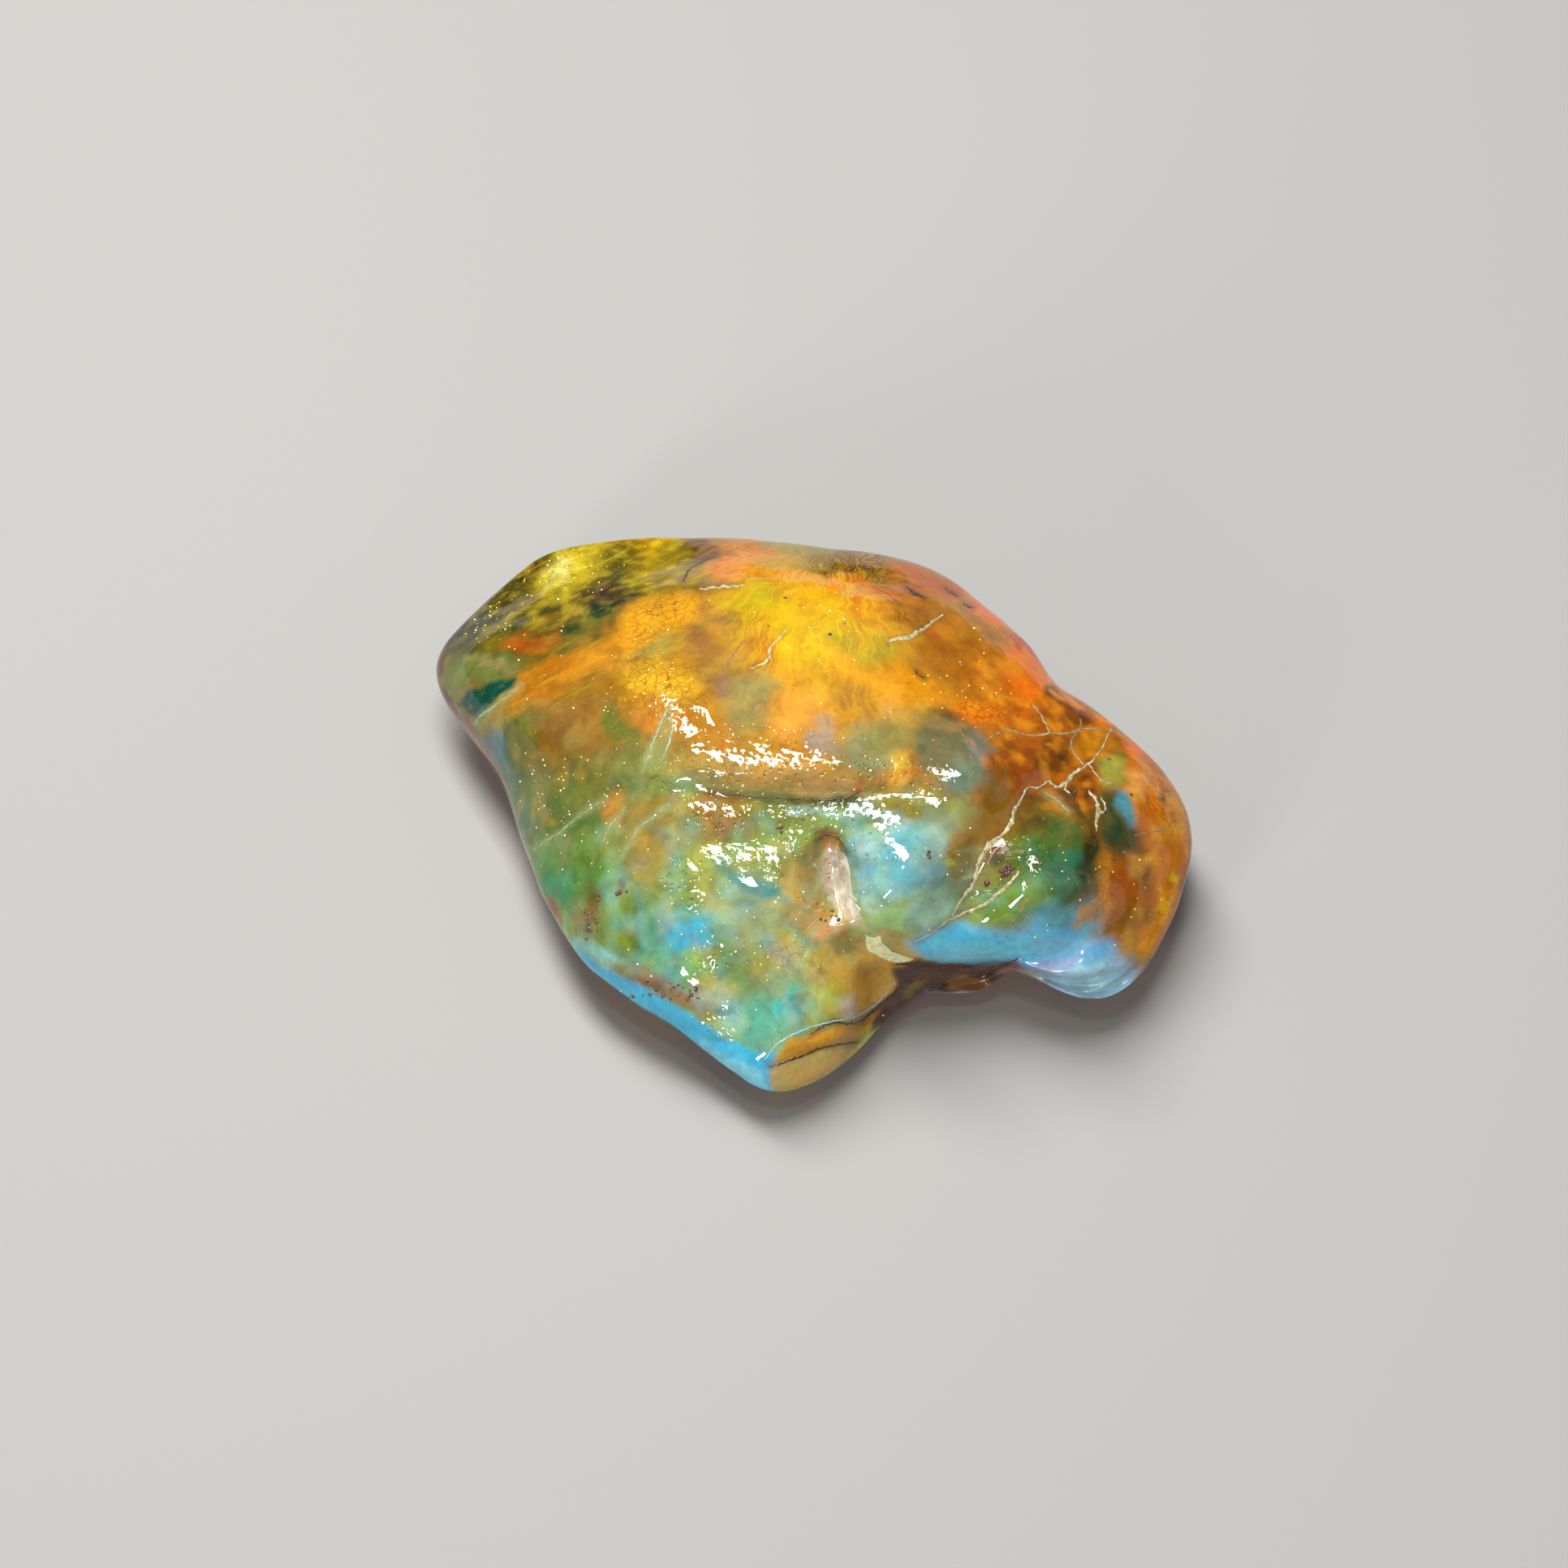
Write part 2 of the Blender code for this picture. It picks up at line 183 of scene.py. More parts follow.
# Soft ovals of colour. name: middle, half-sizes, turn, colour, strength, and softness where it
# isn't PATCH_SOFT. Later ones lie over.
GROUND = (125, 125, 60)
PATCH_SOFT = 0.4
PATCHES = {
    "lower field": ((860, 1120), (340, 230), 0, (135, 165, 80), 1.0, 0.3),
    "upper field": ((980, 830), (380, 130), -5, (185, 125, 30), 1.0, 0.25),
    "right field": ((1350, 1000), (140, 190), 25, (175, 95, 5), 1.0, 0.3),
    # the left side
    "left olive": ((720, 900), (110, 60), 20, (140, 105, 20), 0.9),
    "left green": ((668, 975), (84, 62), -10, (40, 95, 45), 1.0),
    "left dark green": ((648, 910), (26, 36), 0, (10, 90, 30), 0.9),
    "left teal": ((634, 978), (52, 17), -61, (10, 100, 90), 0.95),
    "left blue": ((614, 928), (32, 14), -61, (80, 120, 130), 0.95),
    "left lip": ((560, 868), (48, 8), -62, (110, 35, 10), 0.95, 0.3),
    "left lip low": ((606, 948), (50, 7), -61, (130, 40, 5), 0.9, 0.3),
    "left lip plum": ((556, 856), (9, 6), 0, (70, 25, 40), 0.8),
    # the facet at the upper left
    "facet olive": ((715, 735), (190, 80), 24, (60, 60, 0), 1.0, 0.25),
    "facet rim red": ((650, 694), (36, 8), 38, (55, 5, 0), 0.9, 0.5),
    "facet dull": ((650, 712), (17, 12), 30, (30, 15, 0), 0.8),
    "facet gold": ((704, 699), (46, 21), 25, (205, 185, 30), 0.95),
    # a painted glint: a pale spot where the facet shines, over its gold film
    "facet glint on gold": ((686, 706), (16, 11), 30, (225, 225, 120), 1.0, 0.5),
    "facet dark green": ((750, 740), (44, 30), 10, (5, 40, 35), 0.95),
    "facet black": ((730, 730), (17, 10), 40, (0, 0, 0), 0.95, 0.3),
    "facet black two": ((758, 733), (9, 7), 20, (0, 35, 15), 0.9, 0.3),
    "facet green low": ((722, 782), (44, 28), 20, (15, 60, 25), 0.9),
    "facet yellow": ((820, 696), (42, 26), 5, (140, 115, 0), 0.95),
    "facet top": ((805, 668), (46, 8), 4, (225, 175, 0), 0.85, 0.5),
    "facet beads": ((602, 755), (28, 18), 20, (10, 30, 0), 0.9),
    "facet teal": ((572, 772), (32, 18), 48, (0, 20, 10), 0.95),
    "facet yellow green": ((610, 788), (22, 17), 0, (110, 95, 5), 0.9),
    "facet low orange": ((654, 790), (36, 16), 6, (160, 75, 0), 0.95, 0.35),
    "facet grey": ((592, 824), (40, 17), 8, (105, 120, 55), 0.9),
    "facet white": ((604, 818), (27, 6), -25, (145, 130, 75), 0.75),
    "tip brown": ((546, 816), (8, 18), -20, (90, 25, 0), 0.85),
    # the flame, and what lies between it and the fan
    "flame": ((740, 808), (120, 22), 29, (190, 120, 15), 1.0),
    "flame bright": ((672, 832), (36, 17), 32, (185, 110, 0), 0.95),
    "brown flame": ((718, 900), (66, 44), 20, (150, 100, 15), 0.9),
    "dark flame": ((766, 896), (24, 24), 0, (90, 105, 25), 0.85),
    "flame low green": ((716, 965), (80, 32), 10, (120, 120, 50), 0.85),
    "olive lens": ((814, 804), (36, 14), 20, (160, 150, 65), 0.95, 0.3),
    "gold crackle": ((814, 848), (40, 28), 20, (225, 175, 35), 1.0, 0.35),
    "gold crackle low": ((806, 886), (34, 22), -10, (215, 130, 25), 0.9),
    "ochre": ((886, 806), (31, 58), 0, (140, 100, 55), 0.9),
    "ochre plum": ((884, 846), (10, 16), 0, (150, 110, 95), 0.75),
    "small orange": ((898, 912), (13, 11), 0, (195, 115, 10), 0.85),
    # the far rim and the fan
    "top olive": ((874, 668), (22, 13), 0, (90, 45, 0), 0.9),
    "top orange": ((925, 694), (50, 29), 0, (225, 120, 0), 1.0, 0.35),
    "top orange bright": ((921, 690), (17, 17), 0, (225, 135, 5), 0.8, 0.5),
    "top yellow green": ((966, 694), (35, 21), 0, (175, 135, 0), 0.95),
    "top dark": ((1046, 696), (54, 19), -6, (70, 40, 0), 0.95),
    "top dark streak": ((1062, 694), (32, 4), -4, (115, 40, 0), 0.75, 0.5),
    "top gold olive": ((1130, 708), (39, 17), -22, (165, 80, 0), 0.9),
    "top green": ((1164, 724), (25, 9), -22, (180, 80, 0), 0.85),
    "fan wing": ((932, 738), (44, 24), 8, (190, 170, 15), 1.0),
    "fan heart": ((1001, 774), (42, 58), 0, (225, 195, 10), 1.0),
    "fan top": ((1000, 728), (38, 17), 0, (225, 160, 0), 0.9),
    "fan right": ((1060, 748), (34, 19), -20, (215, 130, 0), 0.9),
    "arc orange": ((1010, 712), (56, 8), -2, (225, 125, 0), 0.85, 0.5),
    "arc red": ((1098, 726), (52, 8), -14, (190, 80, 0), 0.9, 0.5),
    "brown wedge": ((1130, 760), (46, 28), -14, (135, 65, 15), 0.9),
    "pale olive": ((1060, 796), (50, 27), 0, (170, 155, 45), 0.9, 0.5),
    "right tan": ((1200, 792), (42, 33), 0, (150, 85, 0), 0.9),
    "rim red": ((1208, 746), (36, 12), -34, (240, 105, 10), 0.95, 0.5),
    "low band": ((1030, 850), (102, 35), -4, (225, 160, 35), 1.0),
    "low band right": ((1150, 856), (68, 14), -28, (210, 140, 10), 1.0),
    "green ochre": ((922, 856), (35, 37), 0, (145, 140, 85), 0.9),
    "orange low": ((985, 882), (37, 29), 0, (225, 155, 60), 0.95),
    "brown dome": ((1056, 866), (33, 19), -8, (175, 125, 45), 0.95),
    "grey tan": ((1116, 886), (35, 17), -8, (175, 145, 70), 0.9),
    "lilac": ((1016, 908), (18, 23), 0, (150, 145, 135), 0.85),
    "band ochre": ((930, 948), (104, 22), -3, (205, 155, 75), 0.6, 0.5),
    # round the small lumps under the fan
    "bump green": ((1072, 920), (40, 28), 0, (130, 145, 100), 0.9),
    "bump olive": ((1092, 908), (29, 21), 30, (135, 130, 70), 0.85),
    "yellow spot": ((1107, 945), (12, 18), 0, (225, 180, 55), 0.95, 0.5),
    "bump dark": ((1166, 912), (46, 36), -30, (105, 105, 70), 1.0, 0.35),
    "bump top": ((1160, 880), (23, 8), -10, (35, 45, 20), 0.85, 0.5),
    "bump lilac": ((1208, 926), (13, 25), 20, (110, 125, 115), 0.9),
    "bump blue": ((1192, 958), (29, 21), 0, (90, 125, 105), 0.95),
    "bump low": ((1190, 1000), (15, 23), 0, (155, 175, 105), 0.8),
    # the right shoulder and the right end
    "orange red": ((1272, 830), (40, 33), -20, (240, 115, 5), 1.0),
    "top edge red": ((1268, 794), (22, 12), -45, (170, 50, 0), 0.9),
    "dark spot": ((1303, 857), (11, 6), 10, (0, 0, 0), 0.9),
    "gold speckle": ((1212, 876), (31, 18), 0, (225, 115, 0), 0.95, 0.5),
    "rust": ((1250, 936), (29, 33), 0, (150, 75, 0), 0.95),
    "amber streak": ((1256, 886), (15, 15), 0, (205, 100, 0), 0.85),
    "red brown": ((1291, 888), (14, 13), 0, (105, 40, 0), 0.85),
    "dark right": ((1322, 878), (21, 15), -30, (100, 50, 5), 0.9),
    "gold rim": ((1364, 887), (15, 7), -30, (240, 125, 5), 0.9, 0.5),
    "rim brown": ((1400, 905), (70, 7), -43, (90, 35, 0), 0.85),
    "inner rim orange": ((1406, 922), (27, 13), -45, (235, 110, 5), 0.9),
    "olive yellow": ((1354, 912), (23, 17), 0, (175, 115, 5), 0.9),
    "dark green brown": ((1298, 926), (19, 15), 0, (30, 20, 0), 0.9),
    "green right": ((1374, 938), (18, 16), 0, (140, 160, 55), 0.9),
    "teal right": ((1374, 1004), (17, 39), 0, (5, 55, 5), 0.95),
    "peach": ((1405, 962), (16, 16), 0, (225, 170, 60), 0.95),
    "violet": ((1420, 968), (8, 13), -20, (120, 95, 60), 0.8, 0.5),
    "orange crackle": ((1438, 992), (18, 29), 20, (225, 125, 0), 0.95, 0.35),
    "crackle dark": ((1445, 988), (9, 9), 0, (70, 40, 0), 0.85),
    "yellow edge": ((1458, 1003), (7, 13), 10, (225, 155, 5), 0.9),
    "tan pink": ((1450, 1023), (19, 15), 0, (225, 155, 45), 0.9),
    "debris dark": ((1326, 971), (25, 13), 0, (5, 5, 0), 0.9),
    "debris red": ((1343, 960), (14, 19), 0, (75, 25, 0), 0.85),
    "olive brown": ((1338, 997), (17, 18), 0, (45, 65, 10), 0.85),
    "small dark green": ((1276, 983), (15, 11), 0, (10, 15, 0), 0.8),
    "valley amber": ((1216, 1004), (27, 52), -14, (155, 110, 5), 0.95),
    "valley bright": ((1222, 1030), (10, 20), -24, (145, 80, 0), 0.8, 0.5),
    "tan field": ((1430, 1062), (36, 38), 0, (190, 115, 15), 0.9),
    "olive field": ((1404, 1052), (15, 42), 10, (85, 60, 0), 0.8),
    "bright streak": ((1368, 1098), (11, 40), -8, (225, 145, 0), 0.95),
    "dark orange": ((1385, 1083), (7, 22), 0, (175, 90, 5), 0.9),
    "amber low": ((1445, 1122), (23, 27), 0, (225, 130, 5), 0.95),
    "low glow": ((1431, 1128), (11, 18), -20, (225, 160, 0), 0.95, 0.5),
    "end glint": ((1450, 1087), (5, 7), 0, (225, 200, 0), 0.9, 0.5),
    "olive low": ((1404, 1138), (19, 26), 0, (140, 90, 0), 0.9),
    "yellow low": ((1424, 1162), (21, 19), 30, (225, 145, 5), 0.9),
    "green low right": ((1386, 1162), (21, 19), 0, (160, 110, 5), 0.8),
    # the right lobe and the nose
    "right lobe": ((1292, 1064), (62, 74), 0, (65, 100, 35), 1.0, 0.3),
    "right lobe olive": ((1270, 1012), (21, 18), 0, (85, 70, 20), 0.85),
    "right lobe teal": ((1312, 1062), (21, 21), 0, (40, 120, 90), 0.9),
    "right lobe dark": ((1346, 1056), (12, 48), -6, (30, 35, 0), 0.95),
    "right lobe low": ((1250, 1110), (41, 27), 20, (115, 160, 55), 0.9),
    "lobe rose": ((1226, 1052), (10, 14), -30, (70, 15, 0), 0.8),
    "blue low": ((1312, 1142), (46, 29), 10, (80, 175, 195), 0.95),
    "nose": ((1338, 1198), (56, 34), -10, (160, 210, 245), 1.0, 0.3),
    "nose blue": ((1352, 1172), (25, 11), 0, (90, 185, 240), 0.8, 0.5),
    "lavender": ((1292, 1178), (41, 13), 10, (170, 170, 215), 0.9),
    "peach wisp": ((1342, 1128), (8, 20), -40, (225, 150, 10), 0.8),
    # the middle lobe and the pit beside it
    "middle lobe": ((1118, 1076), (70, 80), 0, (140, 185, 160), 1.0, 0.3),
    "mid lobe top": ((1108, 998), (46, 18), 0, (130, 115, 15), 0.95),
    "mid lobe stroke": ((1066, 1008), (27, 13), 20, (80, 145, 125), 0.85),
    "mid lobe pale": ((1072, 1052), (21, 25), 0, (120, 170, 180), 0.9, 0.5),
    "mid lobe blue": ((1124, 1062), (33, 41), 0, (100, 180, 195), 0.9),
    "mid lobe green": ((1094, 1128), (37, 25), -20, (170, 220, 115), 0.95),
    "mid lobe edge": ((1180, 1050), (14, 37), -6, (150, 125, 15), 0.95),
    "mid lobe low": ((1146, 1122), (27, 23), 20, (170, 225, 185), 0.85),
    "yellow ring": ((1169, 1058), (6, 6), 0, (220, 225, 105), 0.8, 0.3),
    "pit top": ((1018, 1040), (20, 12), 0, (140, 80, 20), 0.9),
    "pit left": ((984, 1080), (31, 29), 0, (195, 155, 70), 0.9),
    "pit olive": ((990, 1122), (37, 21), 0, (180, 125, 20), 0.85),
    "orange fork": ((1020, 1142), (24, 13), 30, (220, 95, 0), 0.75, 0.5),
    # under the crease
    "ochre patch": ((756, 994), (23, 23), 0, (215, 130, 30), 0.85),
    "olive tan": ((816, 1014), (52, 35), 0, (140, 110, 35), 0.9),
    "brown mid": ((890, 1010), (35, 31), 0, (165, 100, 30), 0.95),
    "crease green": ((950, 1004), (62, 18), 0, (125, 125, 50), 0.85),
    "crease shade": ((1030, 990), (46, 7), 3, (50, 60, 5), 0.8),
    "bright green": ((700, 1078), (50, 46), -30, (70, 130, 45), 0.95),
    "low left teal": ((690, 1094), (21, 18), 0, (40, 135, 85), 0.9),
    "tan diagonal": ((796, 1056), (37, 33), -40, (160, 130, 50), 0.85),
    "speck brown": ((725, 1130), (15, 29), 10, (125, 75, 15), 0.85),
    "blob brown": ((765, 1097), (7, 8), 0, (115, 55, 5), 0.85, 0.3),
    "rim brown left": ((688, 1124), (23, 8), -58, (140, 65, 0), 0.9),
    "green mid": ((776, 1150), (45, 37), 0, (75, 140, 35), 0.9),
    "pale field": ((920, 1116), (43, 47), 0, (155, 175, 130), 0.9),
    "blue streak": ((930, 1090), (35, 9), -22, (70, 140, 130), 0.85),
    "blue patch": ((848, 1148), (39, 25), 10, (60, 180, 205), 0.95),
    "green by blue": ((850, 1190), (51, 21), -20, (125, 210, 115), 0.8),
    "pale blue": ((740, 1176), (25, 12), -25, (135, 220, 215), 0.95),
    "debris band": ((812, 1214), (67, 16), -24, (165, 115, 45), 0.95, 0.35),
    "debris shade": ((796, 1212), (30, 6), -24, (115, 65, 25), 0.7, 0.5),
    "olive by debris": ((886, 1218), (37, 21), -20, (225, 210, 90), 0.85),
    "yellow leaf": ((972, 1180), (33, 23), -10, (225, 200, 25), 0.95),
    "yellow wisps": ((1002, 1212), (22, 40), 10, (185, 210, 85), 0.8),
    "teal low": ((944, 1256), (41, 35), -20, (85, 175, 150), 0.95),
    "teal low two": ((978, 1236), (19, 21), 0, (25, 190, 190), 0.85),
    "green low": ((905, 1258), (23, 21), 0, (165, 210, 160), 0.8),
    "front tan": ((1080, 1200), (68, 42), -20, (225, 170, 45), 0.95),
    "front pink": ((1048, 1238), (19, 13), 20, (225, 205, 180), 0.85),
    "front olive": ((1030, 1176), (27, 21), 0, (165, 150, 40), 0.8),
    "front tip": ((955, 1330), (15, 13), 0, (55, 190, 225), 0.8),
}

# Patches with a clear outline. name: corners, colour, strength and the pixels its edge takes
SHAPES = {
    "deep teal": ((
        (568, 862), (578, 852), (590, 846), (604, 837), (622, 838), (638, 840), (628, 851), (610, 862),
        (598, 874), (586, 888), (575, 876),
    ), (0, 70, 55), 1.0, 2.5),
    "crackle": ((
        (760, 770), (772, 746), (792, 735), (822, 728), (852, 728), (863, 742), (858, 764), (846, 782),
        (826, 786), (800, 790), (782, 806), (764, 798),
    ), (225, 160, 25), 0.9, 11.0),
    "leaf": ((
        (824, 870), (828, 890), (820, 925), (808, 948), (790, 952), (796, 925), (808, 895),
    ), (135, 150, 85), 0.6, 3.0),
    "amber wedge": ((
        (1122, 792), (1150, 786), (1186, 800), (1206, 830), (1206, 866), (1184, 862), (1160, 846),
        (1136, 822),
    ), (145, 85, 10), 0.65, 10.0),
    "lens": ((
        (966, 972), (985, 962), (1020, 956), (1052, 958), (1064, 968), (1056, 980), (1020, 982), (985, 980),
    ), (220, 165, 90), 0.5, 3.5),
    "teal sliver": ((
        (963, 1001), (985, 996), (1015, 997), (1043, 1003), (1036, 1010), (1010, 1008), (985, 1010),
        (966, 1010),
    ), (150, 185, 160), 0.95, 2.5),
    "blue rim": ((
        (1116, 1168), (1150, 1152), (1184, 1134), (1212, 1140), (1240, 1148), (1290, 1142), (1334, 1150),
        (1322, 1174), (1270, 1186), (1235, 1190), (1180, 1190), (1140, 1184),
    ), (90, 195, 240), 1.0, 9.0),
    "blue rim light": ((
        (1150, 1172), (1190, 1166), (1236, 1172), (1242, 1186), (1200, 1192), (1156, 1186),
    ), (120, 200, 225), 0.7, 8.0),
    "blue rim light two": ((
        (1270, 1160), (1310, 1150), (1340, 1156), (1324, 1170), (1284, 1176),
    ), (125, 195, 225), 0.7, 8.0),
    "cyan edge": ((
        (700, 1160), (735, 1188), (775, 1206), (820, 1234), (860, 1256), (900, 1280), (935, 1293),
        (957, 1302), (964, 1336), (940, 1352), (890, 1335), (840, 1300), (780, 1258), (720, 1205),
    ), (60, 185, 225), 1.0, 6.0),
    "cyan pale": ((
        (860, 1280), (900, 1300), (940, 1318), (950, 1340), (900, 1330), (856, 1296),
    ), (135, 210, 225), 0.7, 6.0),
    "chip upper": ((
        (950, 1312), (975, 1284), (1005, 1272), (1040, 1262), (1064, 1256), (1080, 1240), (1096, 1228),
        (1102, 1240), (1080, 1264), (1062, 1276), (1034, 1286), (1000, 1296), (970, 1308),
    ), (215, 155, 20), 0.95, 3.0),
    "chip lower": ((
        (950, 1316), (1000, 1297), (1034, 1288), (1062, 1276), (1070, 1296), (1050, 1320), (1020, 1338),
        (985, 1350), (955, 1352),
    ), (195, 170, 90), 0.95, 4.0),
    "chip streak": ((
        (975, 1330), (1000, 1312), (1040, 1296), (1046, 1302), (1010, 1322), (985, 1338),
    ), (225, 170, 85), 0.6, 4.0),
    "crust": ((
        (1104, 1190), (1130, 1186), (1180, 1190), (1240, 1186), (1256, 1178), (1262, 1190), (1246, 1206),
        (1228, 1214), (1222, 1232), (1180, 1226), (1146, 1224), (1120, 1238), (1094, 1266), (1076, 1272),
        (1090, 1244), (1108, 1216),
    ), (70, 50, 40), 1.0, 4.0),
    "crust olive": ((
        (1118, 1228), (1126, 1208), (1144, 1200), (1150, 1210), (1134, 1222), (1122, 1238),
    ), (110, 100, 35), 0.85, 3.0),
    "green wedge": ((
        (1358, 944), (1376, 934), (1394, 938), (1392, 956), (1376, 968), (1362, 962),
    ), (140, 155, 65), 0.7, 6.0),
    "right teal": ((
        (1358, 966), (1380, 968), (1392, 1004), (1404, 1020), (1400, 1044), (1380, 1058), (1364, 1040),
        (1358, 1008),
    ), (20, 70, 40), 0.75, 8.0),
    "peach glow": ((
        (1392, 950), (1406, 944), (1418, 956), (1420, 972), (1408, 980), (1396, 968),
    ), (240, 160, 80), 0.7, 6.0),
    "blue stripe": ((
        (1381, 968), (1392, 972), (1402, 992), (1404, 1014), (1396, 1018), (1386, 1000), (1378, 984),
    ), (5, 140, 160), 0.85, 5.0),
    "tongue": ((
        (1168, 1206), (1200, 1202), (1222, 1206), (1220, 1220), (1196, 1224), (1170, 1220),
    ), (140, 100, 55), 0.95, 3.0),
    "tongue edge": ((
        (1144, 1221), (1176, 1221), (1218, 1219), (1222, 1226), (1196, 1232), (1150, 1228),
    ), (150, 175, 200), 0.9, 3.0),
    "crust pink": ((
        (1234, 1196), (1254, 1184), (1270, 1188), (1264, 1196), (1244, 1202),
    ), (140, 105, 105), 0.8, 3.0),
    "pit filling": ((
        (1012, 1050), (1022, 1040), (1034, 1044), (1042, 1063), (1046, 1090), (1048, 1108), (1057, 1120),
        (1062, 1139), (1050, 1137), (1038, 1122), (1026, 1110), (1014, 1090), (1010, 1064),
    ), (205, 180, 150), 0.9, 3.0),
    "pit dark": ((
        (1002, 1048), (1010, 1034), (1026, 1029), (1038, 1038), (1036, 1048), (1022, 1044), (1010, 1056),
    ), (200, 140, 45), 0.75, 4.0),
}

# What is common to all of them: how the places wander, as noise size and reach in pixels, how
# much brighter the paint is than the table says, and how much softer the patches are
WANDER = ((110.0, 14.0), (42.0, 10.0), (15.0, 7.0))
PAINT_GAIN = 1.3
PATCH_SOFTER = 1.25

# Clouds and wisps inside the stone. name: middle, half-sizes, turn, colour, grain in mm, how
# rare, strength. All are weakened by CLOUD_STRENGTH, none is laid under CLOUD_LEAST, and each
# fades in over CLOUD_BAND of its noise, counted from its rarity
CLOUD_STRENGTH, CLOUD_LEAST = 0.7, 0.01
CLOUD_SOFT = 0.4
CLOUD_BAND = (-0.3, 0.45)
CLOUDS = {
    "lower olive": ((850, 1080), (270, 190), -10, (140, 125, 60), 4.2, 0.12, 0.45),
    "lower deep green": ((780, 1070), (230, 180), -10, (60, 115, 65), 3.4, 0.12, 0.5),
    "lower pale teal": ((900, 1130), (210, 170), -15, (135, 200, 170), 2.6, 0.16, 0.5),
    "lower blue": ((870, 1170), (150, 110), -25, (70, 165, 205), 3.4, 0.2, 0.6),
    "lower ochre": ((930, 1100), (190, 170), 0, (195, 165, 65), 2.2, 0.22, 0.5),
    "lower dark": ((830, 1070), (260, 200), 0, (55, 75, 35), 1.8, 0.26, 0.4),
    "upper bright": ((960, 800), (290, 90), -4, (255, 195, 50), 3.0, 0.12, 0.4),
    "upper brown": ((990, 790), (300, 90), -4, (175, 105, 35), 3.2, 0.18, 0.4),
    "upper olive": ((960, 820), (330, 120), -4, (165, 155, 50), 4.0, 0.2, 0.25),
    "upper red": ((1080, 780), (260, 80), -4, (240, 110, 15), 2.6, 0.26, 0.28),
    "flame brown": ((720, 870), (130, 60), 25, (120, 70, 20), 2.0, 0.14, 0.6),
    "facet dark": ((700, 740), (150, 80), 22, (50, 70, 20), 1.9, 0.14, 0.45),
    "facet gold": ((730, 712), (160, 46), 20, (235, 210, 50), 1.4, 0.2, 0.5),
    "left gold": ((690, 960), (90, 80), -20, (175, 145, 60), 1.8, 0.18, 0.55),
    "right rust": ((1320, 930), (100, 66), -35, (190, 100, 10), 2.2, 0.1, 0.6),
    "right dark": ((1325, 940), (96, 70), -35, (65, 45, 15), 1.8, 0.16, 0.65),
    "right bright": ((1300, 900), (150, 90), -35, (255, 165, 25), 1.5, 0.22, 0.7),
    "end dark": ((1420, 1060), (60, 120), 0, (125, 65, 15), 2.6, 0.16, 0.6),
    "end bright": ((1425, 1070), (50, 120), 0, (255, 185, 40), 2.0, 0.22, 0.6),
    "lobe pale": ((1110, 1070), (80, 90), 0, (170, 215, 230), 2.2, 0.18, 0.5),
    "lobe olive": ((1120, 1080), (90, 100), 0, (130, 150, 75), 2.6, 0.18, 0.5),
    "lobe deep": ((1120, 1080), (80, 90), 0, (65, 140, 170), 2.4, 0.18, 0.5),
    "right lobe olive": ((1270, 1060), (90, 80), 0, (115, 115, 40), 2.6, 0.18, 0.55),
    "right lobe deep": ((1290, 1060), (80, 80), 0, (40, 100, 65), 2.4, 0.14, 0.6),
    "right lobe pale": ((1270, 1110), (70, 60), 0, (120, 195, 170), 2.0, 0.22, 0.5),
    "front warm": ((1040, 1200), (90, 80), -30, (225, 170, 70), 1.8, 0.14, 0.55),
    "front dark": ((1030, 1240), (100, 70), -30, (125, 80, 35), 1.6, 0.24, 0.5),
}

# Where the polish is pitted, so that a lamp glitters in it: middle, half-sizes, turn
PITTED_SOFT = 0.5
PITTED = (
    ((808, 963), (30, 16), 0),
    ((868, 928), (34, 24), -12),
    ((930, 934), (56, 36), -4),
    ((985, 934), (46, 32), 6),
    ((1050, 952), (70, 22), -8),
    ((1110, 962), (20, 14), 0),
    ((885, 1060), (26, 13), 0),
    ((920, 1058), (12, 9), 0),
    ((951, 1070), (17, 22), 10),
    ((982, 1040), (24, 18), 10),
    ((834, 1078), (22, 20), 20),
    ((854, 1110), (14, 10), 0),
    ((877, 1184), (24, 20), 0),
    ((892, 1240), (11, 9), 0),
    ((885, 1270), (17, 10), 0),
    ((1026, 1070), (12, 30), -12),
    ((1072, 1050), (14, 12), 0),
    ((686, 706), (16, 12), 30),
    ((884, 1000), (50, 26), 0),
    ((1040, 1000), (90, 22), 6),
    ((1070, 1036), (34, 26), 0),
    ((1128, 958), (36, 22), 0),
    ((1262, 1060), (34, 26), 0),
    ((835, 895), (26, 18), 0),
    ((822, 864), (24, 18), 0),
)


def linear(colour):
    """A 0 to 255 display colour as linear light."""
    share = np.array(colour) / 255.0
    return np.where(share <= 0.04045, share / 12.92, ((share + 0.055) / 1.055) ** 2.4)


def wandering(x, y, points):
    """The pixel places moved about by noise, so that no patch keeps its oval outline."""
    for size, far in WANDER:
        x = x + noise_at(points, size * PIXEL, 3.7) * far
        y = y + noise_at(points, size * PIXEL, 11.3) * far
    return x, y


def lay_over(colours, share, colour):
    colours += (linear(colour) - colours) * share[:, None]


def seen_colours(x, y):
    colours = np.tile(linear(GROUND), (len(x), 1))
    for middle, halves, turn, colour, strength, *soft in PATCHES.values():
        softness = (soft[0] if soft else PATCH_SOFT) * PATCH_SOFTER
        lay_over(colours, spot(x, y, middle, halves, turn, softness) * strength, colour)
    return colours


